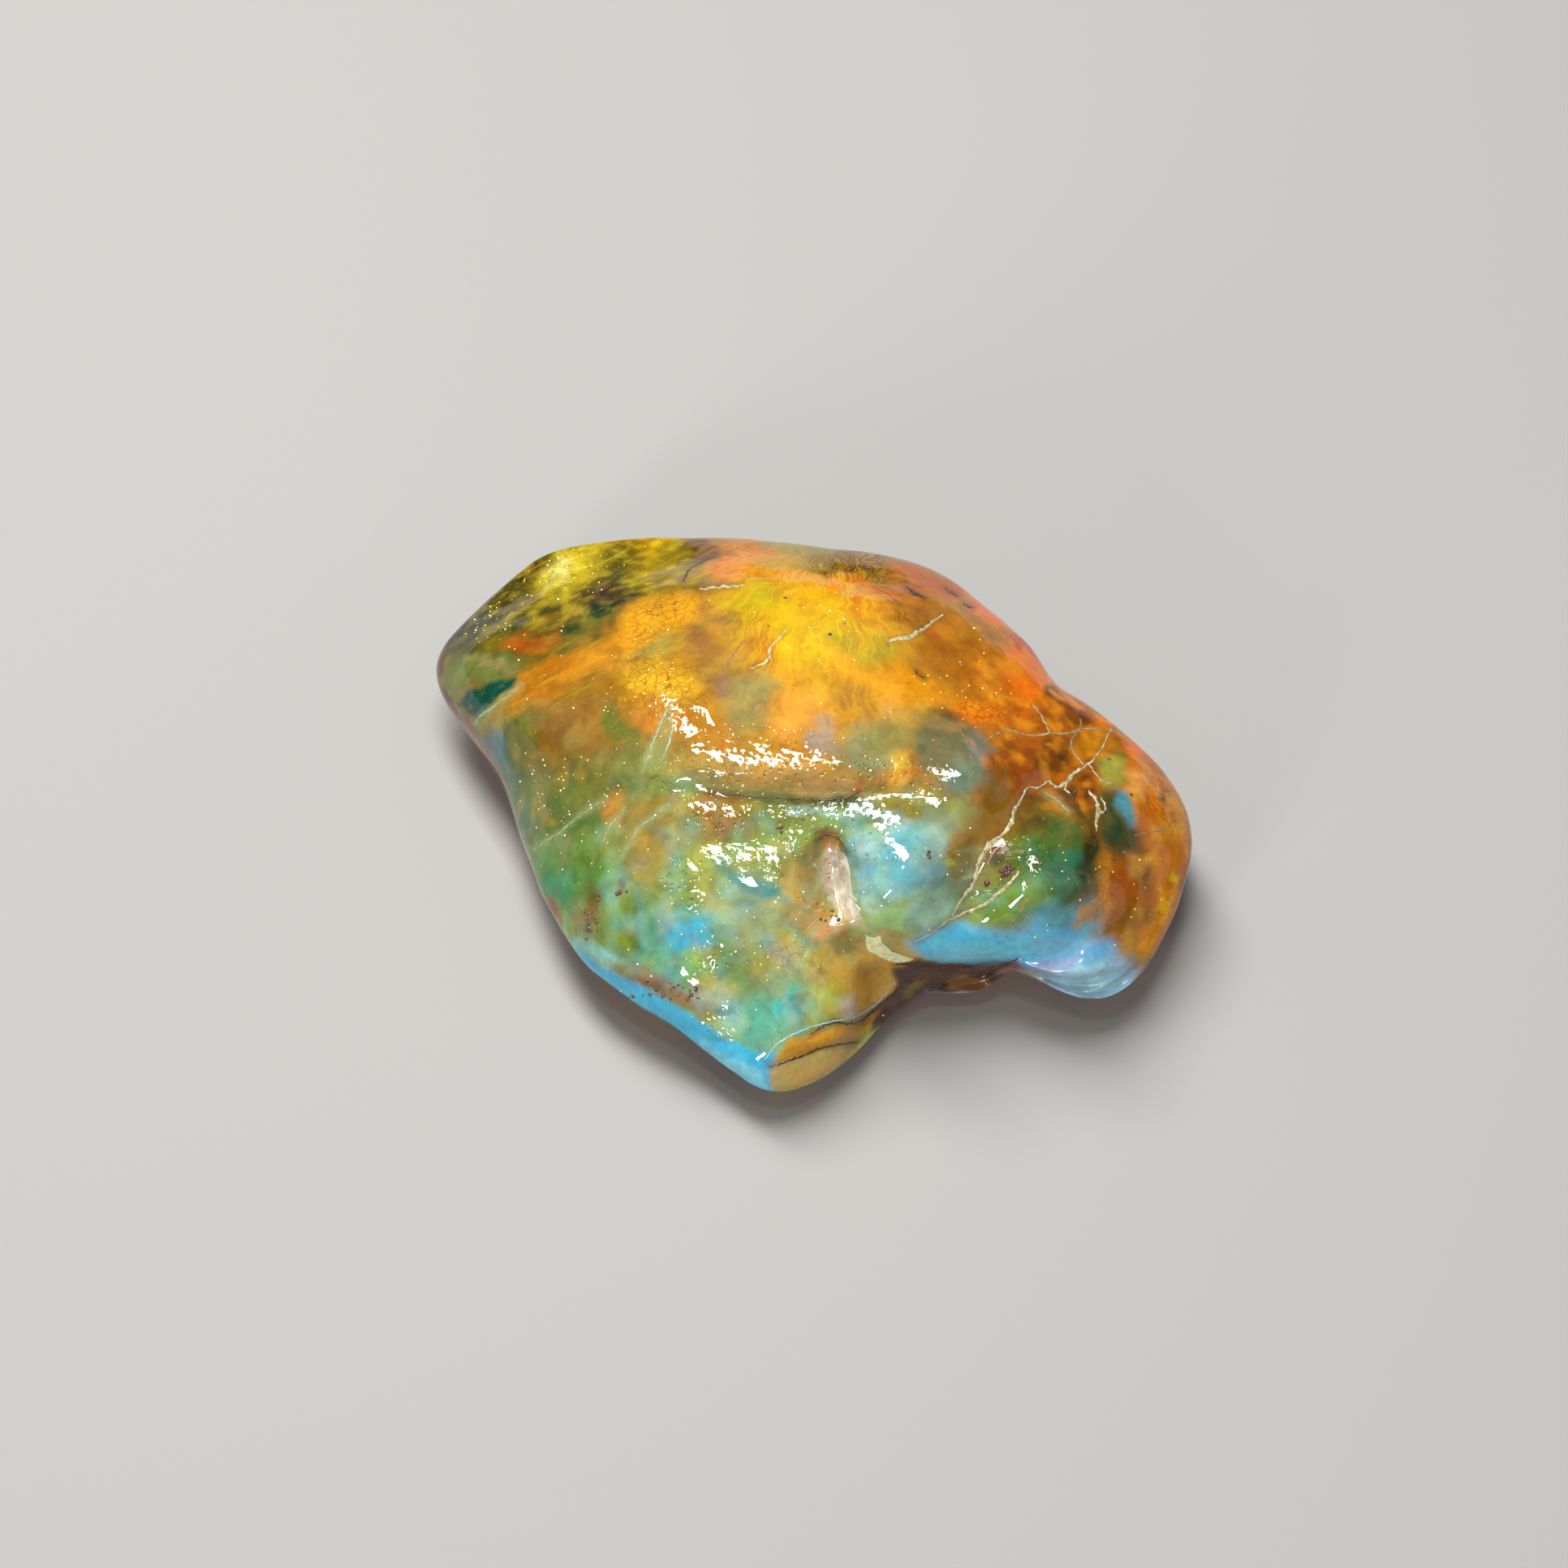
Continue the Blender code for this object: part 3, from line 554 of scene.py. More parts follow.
def lay_clouds(colours, x, y, points, seen):
    """Lays the clouds and wisps over the patches, where they are seen."""
    for number, cloud in enumerate(CLOUDS.values()):
        middle, halves, turn, colour, grain, rarity, strength = cloud
        share = spot(x, y, middle, halves, turn, CLOUD_SOFT) * strength * CLOUD_STRENGTH * seen
        there = share > CLOUD_LEAST
        if there.any():
            drift = noise_at(points[there], grain * MM, 5.3 * number, octaves=2)
            share[there] *= smooth(rarity + CLOUD_BAND[0], rarity + CLOUD_BAND[1], drift)
        lay_over(colours, share, colour)


def lay_shapes(colours, x, y, seen):
    for outline, colour, strength, soft in SHAPES.values():
        lay_over(colours, inside(x, y, outline, soft) * strength * seen, colour)


def stain_cracks(colours, x, y, seen):
    """Stains the stone softly beside its cracks, and darkens it beside the crease and the chip's groove as
    painted shade.
    """
    for lines, far_out, colour, strength in (
        (CREAM_LINES, 8.0, (110, 84, 40), 0.4),
        (PALE_LINES, 8.0, (158, 170, 116), 0.35),
        # painted shade beside the crease and the chip's groove, and a dark stain beside the crust's seams
        (DARK_AND_SHADE_LINES, 9.0, (66, 38, 18), 0.45),
    ):
        for line, _ in lines:
            far, _ = line_distance(x, y, line)
            lay_over(colours, smooth(far_out, 1.0, far) * strength * seen, colour)


# Finer marks in the amber

# The golden fan spreads down from its heart: how many fibres to a radian, and the pixels that
# one changes over. The facet's streaks rise to the right: their length and width in pixels
FAN_HEART = (1022.0, 655.0)
FIBRES_ROUND, FIBRE_LONG = 34.0, 40.0
STREAK_TURN, STREAK_LONG, STREAK_WIDE = 27.0, 60.0, 7.0

# Where they are: middle, half-sizes, turn, strength
FIBRES = (
    ((1006, 755), (90, 80), 0, 1.0),
    ((940, 738), (56, 34), 0, 0.8),
    ((1020, 850), (100, 50), 0, 0.4),
)
STREAKS = (
    ((700, 705), (110, 50), 20, 1.0),
    ((735, 810), (120, 40), 28, 0.8),
    ((1020, 1310), (60, 26), 24, 0.9),
    ((850, 700), (80, 40), 10, 0.6),
)

# Where the stone holds crinkled golden films: middle, half-sizes, turn, strength
GOLD_FILMS = (
    ((704, 702), (70, 30), 18, 0.5),
    ((812, 762), (50, 34), 20, 1.0),
    ((812, 848), (40, 40), 0, 1.0),
    ((920, 692), (40, 24), 0, 0.5),
    ((1212, 876), (34, 18), 0, 0.9),
    ((1438, 990), (20, 34), 20, 0.9),
    ((1432, 1128), (16, 30), -16, 0.5),
    ((975, 1180), (36, 24), 0, 0.6),
    ((1368, 1100), (12, 40), -8, 0.6),
)
MARK_SOFT = 0.7


def share_of(x, y, places, soft):
    """The most that any of these ovals covers each place."""
    share = np.zeros(len(x))
    for middle, halves, turn, *strength in places:
        cover = spot(x, y, middle, halves, turn, soft) * (strength[0] if strength else 1.0)
        share = np.maximum(share, cover)
    return share


# What the photo doesn't show is clouded by noise: size in metres, shift, colour, how rare. A
# cloud fades in over the band, and its rarity and the lift move it
HIDDEN_GROUND = (176, 100, 28)
HIDDEN_BAND, HIDDEN_RARER, HIDDEN_LIFT = (-0.2, 0.6), 0.25, 0.15
HIDDEN = (
    (0.016, 0.0, (206, 116, 26), 0.5),
    (0.012, 5.1, (112, 58, 16), 0.5),
    (0.014, 9.4, (86, 128, 62), 0.8),
    (0.01, 2.2, (70, 146, 166), 1.1),
    (0.007, 7.9, (240, 164, 40), 0.9),
    (0.004, 3.3, (92, 52, 16), 1.1),
    (0.003, 8.8, (255, 190, 60), 1.5),
)

# The golden films and pits there: size in metres, shift, the noise they start and end at, strength
HIDDEN_GOLD = (0.009, 6.1, 0.1, 0.4, 0.8)
HIDDEN_PITS = (0.006, 1.7, 0.2, 0.5, 0.5)


def hidden_colours(points):
    """Amber clouded with green and blue."""
    colours = np.tile(linear(HIDDEN_GROUND), (len(points), 1))
    for size, shift, colour, rarity in HIDDEN:
        drift = noise_at(points, size, shift, octaves=3)
        share = smooth(*HIDDEN_BAND, drift - HIDDEN_RARER * rarity + HIDDEN_LIFT)
        lay_over(colours, share, colour)
    return colours


def hidden_share(points, seen, size, shift, start, end, strength):
    return smooth(start, end, noise_at(points, size, shift)) * strength * (1.0 - seen)


# The body

# The crease across the front is a low step: its height in mm on the left and how much more on
# the right, where it grows, the pixels its edge takes, and how far its slopes reach
CREASE = (
    (656, 1047), (690, 1025), (714, 1005), (743, 986), (787, 973), (835, 976), (883, 977), (960, 981),
    (1042, 983), (1061, 975), (1131, 967),
)
CREASE_HIGH, CREASE_MORE, CREASE_GROWS = 0.03, 0.06, (790.0, 880.0)
CREASE_EDGE, CREASE_REACH = 8.0, (44.0, 6.0)

# The pit has a low lip round it: depth and height in mm, and the pixels their slopes take
PIT_LINE = ((1020, 1038), (1030, 1062), (1036, 1092), (1044, 1116), (1056, 1136))
PIT_DEEP, PIT_WALL = 0.16, (20.0, 2.0)
LIP_HIGH, LIP_OUTSIDE, LIP_INSIDE = 0.06, (38.0, 20.0), (8.0, 22.0)

# The groove along the chipped edge
CHIP_EDGE = ((948, 1314), (990, 1296), (1034, 1286), (1062, 1270))
CHIP_DEEP, CHIP_WALL = 0.16, (9.0, 1.0)

# The unevenness of the polish: size and height in mm, shift
POLISH_LUMPS = ((3.2, 0.07, 0.0), (1.3, 0.02, 4.0))

# From turned away to facing the camera
FACING = (-0.12, 0.16)

# The glow varies a little from place to place: how much, and the size of it in mm
GLOW_VARIES, GLOW_SIZE = 0.16, 2.2


def relief(x, y):
    """How far the seen face stands out, in metres, over the shape of the solid."""
    far, below = line_distance(x, y, CREASE)
    side = np.where(below < 0, -far, far)
    high = CREASE_HIGH + CREASE_MORE * smooth(*CREASE_GROWS, x)
    crease = -high * np.tanh(side / CREASE_EDGE) * smooth(*CREASE_REACH, far)
    far, _ = line_distance(x, y, PIT_LINE)
    lip = LIP_HIGH * smooth(*LIP_OUTSIDE, far) * smooth(*LIP_INSIDE, far)
    pit = -PIT_DEEP * smooth(*PIT_WALL, far) + lip
    far, _ = line_distance(x, y, CHIP_EDGE)
    chip = -CHIP_DEEP * smooth(*CHIP_WALL, far)
    return (crease + pit + chip) * MM


def new_object(name, data):
    """A new object in the scene made of this mesh, or holding this lamp."""
    made = bpy.data.objects.new(name, data)
    bpy.context.scene.collection.objects.link(made)
    return made


def refined_body(node):
    """The solid's own shape with a finer, smooth skin."""
    bm = bmesh.new()
    bm.from_mesh(node.data)
    bmesh.ops.remove_doubles(bm, verts=bm.verts, dist=1e-6)
    bmesh.ops.join_triangles(
        bm, faces=bm.faces, angle_face_threshold=1.0, angle_shape_threshold=1.0, cmp_seam=False
    )
    coarse = bpy.data.meshes.new("coarse")
    bm.to_mesh(coarse)
    bm.free()
    body = new_object("polished_amber", coarse)
    rounding = body.modifiers.new("rounding", "SUBSURF")
    rounding.levels = rounding.render_levels = 2
    graph = bpy.context.evaluated_depsgraph_get()
    body.data = bpy.data.meshes.new_from_object(body.evaluated_get(graph))
    body.modifiers.clear()
    body.data.materials.clear()
    return body


def points_and_normals(mesh):
    """The place and the outward direction of each vertex, one row each."""
    for collection, kind in ((mesh.vertices, "co"), (mesh.vertex_normals, "vector")):
        found = np.empty(len(collection) * 3, np.float32)
        collection.foreach_get(kind, found)
        yield found.reshape(-1, 3).astype(float)


def seen_share(points, normals):
    """1 where a place faces the photograph's camera, 0 where it faces away."""
    sight = points - np.array(SIGHT.place)
    sight /= np.linalg.norm(sight, axis=1)[:, None]
    return smooth(*FACING, -(sight * normals).sum(axis=1))


def shape_body(body, low, high):
    """Raises the small relief, and keeps the body inside the solid's box."""
    points, normals = points_and_normals(body.data)
    x, y = SIGHT.pixels(points)
    raised = relief(x, y) * seen_share(points, normals)
    for size, lump, shift in POLISH_LUMPS:
        raised += noise_at(points, size * MM, shift) * lump * MM
    points += normals * raised[:, None]
    points = np.clip(points, np.array(low), np.array(high))
    body.data.vertices.foreach_set("co", points.astype(np.float32).ravel())
    body.data.update()
    body.data.shade_smooth()


def keep_values(body, name, *columns):
    """Stores one value a vertex, for the material to read: four columns are a colour, two a place."""
    kind, field = ("FLOAT_COLOR", "color") if len(columns) == 4 else ("FLOAT_VECTOR", "vector")
    if len(columns) == 2:
        columns = (*columns, np.zeros(len(columns[0])))
    layer = body.data.attributes.new(name, kind, "POINT")
    layer.data.foreach_set(field, np.column_stack(columns).astype(np.float32).ravel())


def paint_body(body):
    points, normals = points_and_normals(body.data)
    seen = seen_share(points, normals)
    flat_x, flat_y = SIGHT.pixels(points)
    x, y = wandering(flat_x, flat_y, points)
    share = seen[:, None]
    colours = hidden_colours(points) * (1.0 - share) + seen_colours(x, y) * share
    lay_clouds(colours, x, y, points, seen)
    lay_shapes(colours, (flat_x + x) / 2, (flat_y + y) / 2, seen)
    stain_cracks(colours, flat_x, flat_y, seen)
    glow = np.exp(GLOW_VARIES * noise_at(points, GLOW_SIZE * MM, 2.6, octaves=2))
    colours = np.clip(colours * PAINT_GAIN * glow[:, None], 0.0, 1.0)
    keep_values(body, "amber_colour", *colours.T, np.ones(len(x)))
    gold = share_of(x, y, GOLD_FILMS, MARK_SOFT) * seen + hidden_share(points, seen, *HIDDEN_GOLD)
    pitted = share_of(flat_x, flat_y, PITTED, PITTED_SOFT) * seen
    pitted += hidden_share(points, seen, *HIDDEN_PITS)
    fibres = share_of(x, y, FIBRES, MARK_SOFT) * seen
    streaks = share_of(x, y, STREAKS, MARK_SOFT) * seen
    keep_values(body, "amber_detail", gold, pitted, fibres, streaks)
    across, down = x - FAN_HEART[0], y - FAN_HEART[1]
    round_heart, from_heart = np.arctan2(across, down), np.hypot(across, down)
    keep_values(body, "fan_place", round_heart * FIBRES_ROUND, from_heart / FIBRE_LONG)
    along, aside = turned(flat_x, flat_y, STREAK_TURN)
    keep_values(body, "streak_place", along / STREAK_LONG, aside / STREAK_WIDE)


# Materials


class Nodes:
    """Short words for making a material's nodes."""

    def __init__(self, name):
        self.material = bpy.data.materials.new(name)
        self.material.use_nodes = True
        self.tree = self.material.node_tree
        self.shader = self.tree.nodes["Principled BSDF"]

    def put(self, value, socket):
        """Links an output to the socket, or sets a number, or a colour of 0 to 255, on it."""
        if isinstance(value, bpy.types.NodeSocket):
            self.tree.links.new(value, socket)
        elif isinstance(value, tuple):
            socket.default_value = (*linear(value), 1.0)
        else:
            socket.default_value = value

    def add(self, kind, sockets, **settings):
        """A new node with these values on its sockets, which are given by name or by number."""
        node = self.tree.nodes.new(kind)
        for key, value in settings.items():
            setattr(node, key, value)
        for socket, value in sockets.items():
            self.put(value, node.inputs[socket])
        return node

    def place(self):
        return self.add("ShaderNodeTexCoord", {}).outputs["Object"]

    def stored(self, name):
        return self.add("ShaderNodeAttribute", {}, attribute_name=name)

    def noise(self, place, size, detail=2.0, roughness=0.5, distortion=0.0, out="Fac"):
        sockets = {"Vector": place, "Scale": 1.0 / size, "Detail": detail}
        sockets |= {"Roughness": roughness, "Distortion": distortion}
        return self.add("ShaderNodeTexNoise", sockets).outputs[out]

    def cells(self, place, size, feature="F1"):
        sockets = {"Vector": place, "Scale": 1.0 / size}
        return self.add("ShaderNodeTexVoronoi", sockets, feature=feature).outputs["Distance"]

    def spread(self, value, low, high, to_low=0.0, to_high=1.0):
        sockets = {"Value": value, "From Min": low, "From Max": high, "To Min": to_low, "To Max": to_high}
        return self.add("ShaderNodeMapRange", sockets).outputs["Result"]

    def sums(self, operation, first, second):
        return self.add("ShaderNodeMath", {0: first, 1: second}, operation=operation).outputs["Value"]

    def mix(self, share, first, second, blend="MIX"):
        sockets = {0: share, 6: first, 7: second}
        return self.add("ShaderNodeMix", sockets, data_type="RGBA", blend_type=blend).outputs[2]

    def bump(self, height, distance, before=None):
        """Tilts the skin by this height, on top of the bump before it."""
        node = self.add("ShaderNodeBump", {"Height": height, "Distance": distance, "Strength": 1.0})
        if before is not None:
            self.put(before, node.inputs["Normal"])
        return node.outputs["Normal"]


TRANSMISSION = 0.5
AMBER_IOR = 1.54
ABSORBED = (0.93, 0.45, 0.06)
ABSORPTION = 420.0
FLOOR_COLOUR = (0.27, 0.267, 0.26)

FLOOR_ROUGHNESS, SPECK_ROUGHNESS = 0.7, 0.15

# How high the bumps of the polish, its pits and the crack fillings stand, in metres, and the
# dimples' share in a pit beside its swell
PEEL_HIGH, PITS_HIGH, GRAIN_HIGH = 0.00006, 0.00022, 0.00005
DIMPLE_SHARE = 0.55

# Sizes in mm: the clouds and hues in the amber, the waves, dimples and swells of its polish, the
# bends, their reach and the scales of the crackle, and the grain of the fillings and specks
CLOUD_SIZE, HUE_SIZE = 1.3, 0.6
PEEL_SIZE, DIMPLE_SIZE, SWELL_SIZE = 1.8, 0.52, 0.95
BEND_SIZE, BEND_FAR, SCALE_SIZE = 1.2, 0.9, 0.75
FILLING_GRAIN, SPECK_GRAIN = 0.45, 1.3

# Bright lines drawn out along a stored place: its name, their detail, the noise they start and
# end at, and strength
FAN_FIBRES = ("fan_place", 4.0, 0.46, 0.62, 0.8)
FACET_STREAKS = ("streak_place", 3.0, 0.54, 0.72, 0.6)

# A speck's colour varies to one this much paler
SPECK_PALER = 40


def amber_material():
    n = Nodes("polished_amber")
    place = n.place()
    detail = n.stored("amber_detail")
    gold, pitted, fibres = n.add("ShaderNodeSeparateColor", {"Color": detail.outputs["Color"]}).outputs
    streaks = detail.outputs["Alpha"]
    cloud = n.noise(place, CLOUD_SIZE * MM, detail=5.0, roughness=0.6, distortion=1.2)
    hue = n.noise(place, HUE_SIZE * MM, detail=3.0, roughness=0.6, distortion=0.6)
    painted = n.stored("amber_colour").outputs["Color"]
    colour = n.mix(1.0, painted, n.spread(cloud, 0.34, 0.66, 0.86, 1.14), "MULTIPLY")
    for share, tint in (
        (n.spread(hue, 0.58, 0.8, 0.0, 0.2), (236, 196, 70)),
        (n.spread(hue, 0.42, 0.22, 0.0, 0.3), (60, 52, 22)),
        (stretched_lines(n, fibres, *FAN_FIBRES), (255, 212, 36)),
        (stretched_lines(n, streaks, *FACET_STREAKS), (250, 220, 50)),
        (crackle_lines(n, place, gold), (134, 62, 8)),
        (gold_crinkles(n, cloud, gold), (255, 206, 50)),
    ):
        colour = n.mix(share, colour, tint)
    n.put(colour, n.shader.inputs["Base Color"])
    n.put(n.spread(hue, 0.35, 0.75, 0.02, 0.06), n.shader.inputs["Roughness"])
    n.put(polish(n, place, pitted), n.shader.inputs["Normal"])
    n.shader.inputs["Transmission Weight"].default_value = TRANSMISSION
    n.shader.inputs["IOR"].default_value = AMBER_IOR
    absorb = n.add("ShaderNodeVolumeAbsorption", {})
    absorb.inputs["Color"].default_value = (*ABSORBED, 1.0)
    absorb.inputs["Density"].default_value = ABSORPTION
    n.put(absorb.outputs["Volume"], n.tree.nodes["Material Output"].inputs["Volume"])
    return n.material


def polish(n, place, pitted):
    """The polish's faint waves all over, and its dimples and swells where it is pitted."""
    peel = n.bump(n.noise(place, PEEL_SIZE * MM, detail=1.0), PEEL_HIGH)
    dimples = n.spread(n.cells(place, DIMPLE_SIZE * MM), 0.1, 0.32)
    swell = n.noise(place, SWELL_SIZE * MM, detail=1.0)
    uneven = n.sums("ADD", n.sums("MULTIPLY", dimples, DIMPLE_SHARE), swell)
    return n.bump(n.sums("MULTIPLY", uneven, pitted), PITS_HIGH, peel)


def gold_crinkles(n, wrinkle, gold):
    """Thin bright wrinkles where the golden films are."""
    off = n.sums("ABSOLUTE", n.sums("SUBTRACT", wrinkle, 0.5), 0.0)
    return n.sums("MULTIPLY", n.spread(off, 0.0, 0.02, 0.6, 0.0), gold)


def crackle_lines(n, place, gold):
    """The dark net between the scales of the golden films."""
    bend = n.noise(place, BEND_SIZE * MM, out="Color")
    bent = n.add("ShaderNodeVectorMath", {0: bend, 2: place}, operation="MULTIPLY_ADD")
    bent.inputs[1].default_value = (BEND_FAR * MM,) * 3
    edge = n.cells(bent.outputs["Vector"], SCALE_SIZE * MM, "DISTANCE_TO_EDGE")
    return n.sums("MULTIPLY", n.spread(edge, 0.0, 0.07, 0.8, 0.0), gold)


def stretched_lines(n, where, layer, detail, start, end, strength):
    """The fan's fibres, which run down from its heart, or the facet's rising streaks."""
    line = n.noise(n.stored(layer).outputs["Vector"], 1.0, detail, roughness=0.6, distortion=0.4)
    return n.sums("MULTIPLY", n.spread(line, start, end, 0.0, strength), where)


def filling_material(name, colour, other, roughness, grain=FILLING_GRAIN):
    """Mineral that fills a crack, mottled from one colour to the other. The grain is in mm."""
    n = Nodes(name)
    mottle = n.noise(n.place(), grain * MM, detail=4.0, roughness=0.6)
    n.put(n.mix(n.spread(mottle, 0.35, 0.65), colour, other), n.shader.inputs["Base Color"])
    n.shader.inputs["Roughness"].default_value = roughness
    n.put(n.bump(mottle, GRAIN_HIGH), n.shader.inputs["Normal"])
    return n.material


def speck_material(name, colour):
    n = Nodes(name)
    tint = n.noise(n.place(), SPECK_GRAIN * MM)
    paler = tuple(min(255, part + SPECK_PALER) for part in colour)
    n.put(n.mix(n.spread(tint, 0.35, 0.65), colour, paler), n.shader.inputs["Base Color"])
    n.shader.inputs["Roughness"].default_value = SPECK_ROUGHNESS
    return n.material


def floor_material():
    n = Nodes("pale_floor")
    n.shader.inputs["Base Color"].default_value = (*FLOOR_COLOUR, 1.0)
    n.shader.inputs["Roughness"].default_value = FLOOR_ROUGHNESS
    return n.material


# Cracks, fillings and lines

# Each line: its points in the photo, and its full width at the start, the middle and the end
CREAM_LINES = (
    (((1369, 898), (1355, 926), (1340, 942), (1324, 952), (1312, 965), (1303, 970)), (2, 4, 6)),
    (((1303, 970), (1291, 963), (1279, 971), (1267, 971), (1258, 985), (1250, 998)), (4, 3, 5)),
    (((1250, 998), (1245, 1016), (1233, 1030), (1220, 1040), (1211, 1053), (1205, 1069)), (6, 9, 9)),
    (((1205, 1069), (1202, 1082), (1197, 1093), (1188, 1104), (1179, 1118), (1173, 1130)), (8, 6, 2)),
    (((1256, 1074), (1245, 1087), (1228, 1102), (1212, 1115), (1187, 1125)), (3, 6, 5)),
    (((1187, 1125), (1164, 1138), (1146, 1151), (1128, 1160)), (4, 3, 1)),
    (((1330, 946), (1318, 962), (1312, 972), (1318, 977)), (2, 4, 3)),
    (((1341, 974), (1350, 985), (1353, 998), (1351, 1012), (1352, 1024)), (3, 9, 2)),
    (((1353, 1003), (1361, 999), (1361, 990), (1356, 982)), (4, 4, 2)),
    (((1093, 793), (1103, 787), (1119, 785), (1133, 778), (1144, 770), (1162, 758)), (3, 7, 3)),
    (((969, 776), (950, 797), (946, 813), (925, 824)), (2, 5, 2)),
    (((862, 726), (880, 724), (902, 722), (916, 721)), (3, 4, 2)),
)
THIN_LINES = (
    (((1212, 915), (1225, 906), (1240, 899), (1263, 905), (1279, 906), (1294, 903)), (2, 3, 4)),
    (((1294, 903), (1317, 903), (1331, 899), (1355, 898), (1370, 900), (1384, 905)), (4, 3, 2)),
    (((1273, 868), (1282, 880), (1291, 896), (1294, 902)), (3, 3, 2)),
    (((1331, 885), (1331, 898), (1322, 908), (1321, 921), (1328, 934), (1337, 942)), (2, 3, 3)),
    (((1342, 941), (1349, 952), (1357, 961), (1372, 965)), (3, 3, 2)),
    (((1397, 1030), (1414, 1026), (1437, 1021)), (1, 2, 3)),
)
PALE_LINES = (
    (((586, 893), (592, 882), (612, 868), (641, 845)), (5, 4, 1)),
    (((656, 1047), (690, 1025), (714, 1005), (743, 986)), (2, 2, 1)),
    (((743, 1037), (752, 1016), (764, 1004), (770, 994)), (2, 3, 1)),
    (((766, 1056), (786, 1022), (806, 1006), (822, 994)), (1, 3, 1)),
    (((822, 872), (812, 896), (800, 926), (790, 956)), (2, 4, 1)),
    (((825, 876), (828, 898), (822, 920), (815, 938)), (2, 3, 1)),
    (((1286, 976), (1301, 985), (1317, 1000)), (2, 2, 2)),
    (((1212, 1047), (1196, 1046), (1178, 1049)), (2, 2, 1)),
)
ROSE_LINES = (
    (((1181, 896), (1189, 908), (1197, 919)), (2, 3, 2)),
    (((1187, 933), (1193, 926), (1200, 938)), (2, 4, 2)),
    (((1216, 1064), (1224, 1050), (1236, 1040)), (2, 6, 2)),
    (((916, 790), (904, 806), (896, 819), (887, 853)), (1, 3, 1)),
)
# Dark lines: seams of the crust, and painted shade along the crease and in the chip's groove
DARK_AND_SHADE_LINES = (
    # painted shade in the chip's groove
    (((948, 1315), (975, 1306), (1010, 1292), (1034, 1287), (1058, 1284)), (2, 5, 2)),
    (((1000, 1274), (1012, 1266), (1028, 1260), (1046, 1262), (1062, 1258)), (2, 4, 2)),
    (((1062, 1258), (1078, 1244), (1092, 1232), (1110, 1214)), (3, 6, 5)),
    (((1104, 1188), (1130, 1187), (1160, 1190), (1186, 1190)), (3, 8, 8)),
    (((1178, 1194), (1206, 1196), (1234, 1190), (1254, 1182)), (8, 9, 4)),
    (((1110, 1214), (1130, 1206), (1150, 1203), (1176, 1204)), (6, 9, 5)),
    # painted shade along the crease
    (((872, 977), (900, 979), (940, 983), (975, 984)), (1, 2, 2)),
    (((975, 984), (1010, 986), (1040, 984), (1058, 976)), (2, 3, 1)),
    (((842, 716), (848, 703), (862, 694), (882, 686)), (4, 3, 1)),
    (((1116, 722), (1126, 730), (1138, 736)), (3, 8, 2)),
    (((1164, 724), (1172, 730), (1180, 734)), (3, 6, 2)),
    (((1186, 744), (1193, 747), (1200, 748)), (2, 5, 2)),
    (((1006, 1036), (1020, 1029), (1034, 1034), (1042, 1050)), (1, 3, 1)),
    (((728, 742), (738, 728), (750, 718)), (4, 9, 3)),
    (((1128, 826), (1132, 831), (1140, 836)), (2, 3, 1)),
)
FORK_LINES = (
    (((988, 1152), (1002, 1138), (1018, 1127), (1036, 1131)), (1, 3, 1)),
    (((1000, 1161), (1012, 1149), (1030, 1142), (1046, 1133)), (1, 2, 1)),
)
FOLD_LINES = (
    (((942, 1306), (954, 1290), (969, 1279), (990, 1269), (1011, 1262), (1036, 1257)), (1.5, 3, 2)),
    (((1036, 1257), (1056, 1252), (1072, 1243), (1084, 1233), (1094, 1222)), (2, 2, 1)),
)
PIT_OUTLINE = (
    (1024, 1054), (1032, 1046), (1041, 1050), (1047, 1068), (1049, 1090), (1051, 1104), (1057, 1109),
    (1055, 1117), (1062, 1122), (1060, 1129), (1066, 1138), (1057, 1137), (1050, 1131), (1047, 1123),
    (1038, 1117), (1034, 1106), (1026, 1096), (1022, 1074),
)
CHIP_OUTLINE = (
    (1064, 1150), (1074, 1154), (1084, 1152), (1088, 1162), (1106, 1176), (1130, 1184), (1104, 1188),
    (1080, 1178), (1067, 1168),
)

# Each piece made of strips: its name, its lines, how high it stands in mm, how ragged it is,
# and its material's name, two colours and roughness
STRIPS = (
    ("crack_filling", CREAM_LINES, 0.04, 0.9, ("cream_filling", (190, 184, 148), (124, 110, 74), 0.4)),
    ("thin_cracks", THIN_LINES, 0.03, 0.9, ("tan_filling", (156, 142, 106), (106, 90, 60), 0.4)),
    ("pale_seams", PALE_LINES, 0.02, 0.9, ("pale_seam", (148, 158, 116), (104, 114, 66), 0.4)),
    ("rose_seams", ROSE_LINES, 0.02, 0.9, ("rose_seam", (150, 92, 74), (104, 62, 48), 0.4)),
    ("dark_seams", DARK_AND_SHADE_LINES, 0.02, 0.9, ("dark_seam", (52, 28, 16), (92, 56, 28), 0.2)),
    ("amber_forks", FORK_LINES, 0.02, 0.9, ("amber_fork", (190, 116, 24), (140, 90, 30), 0.2)),
    ("blue_folds", FOLD_LINES, 0.02, 0.5, ("blue_fold", (168, 200, 212), (96, 150, 160), 0.2)),
)
# Each pad: its name, outline and swell in mm, and its material's name, two colours, roughness
# and, if it isn't FILLING_GRAIN, grain in mm
PADS = (
    ("pit_filling", PIT_OUTLINE, 0.08, ("grey_filling", (196, 190, 174), (144, 132, 110), 0.06, 1.4)),
    ("cream_chip", CHIP_OUTLINE, 0.05, ("cream_chip", (226, 228, 176), (186, 186, 132), 0.2)),
)

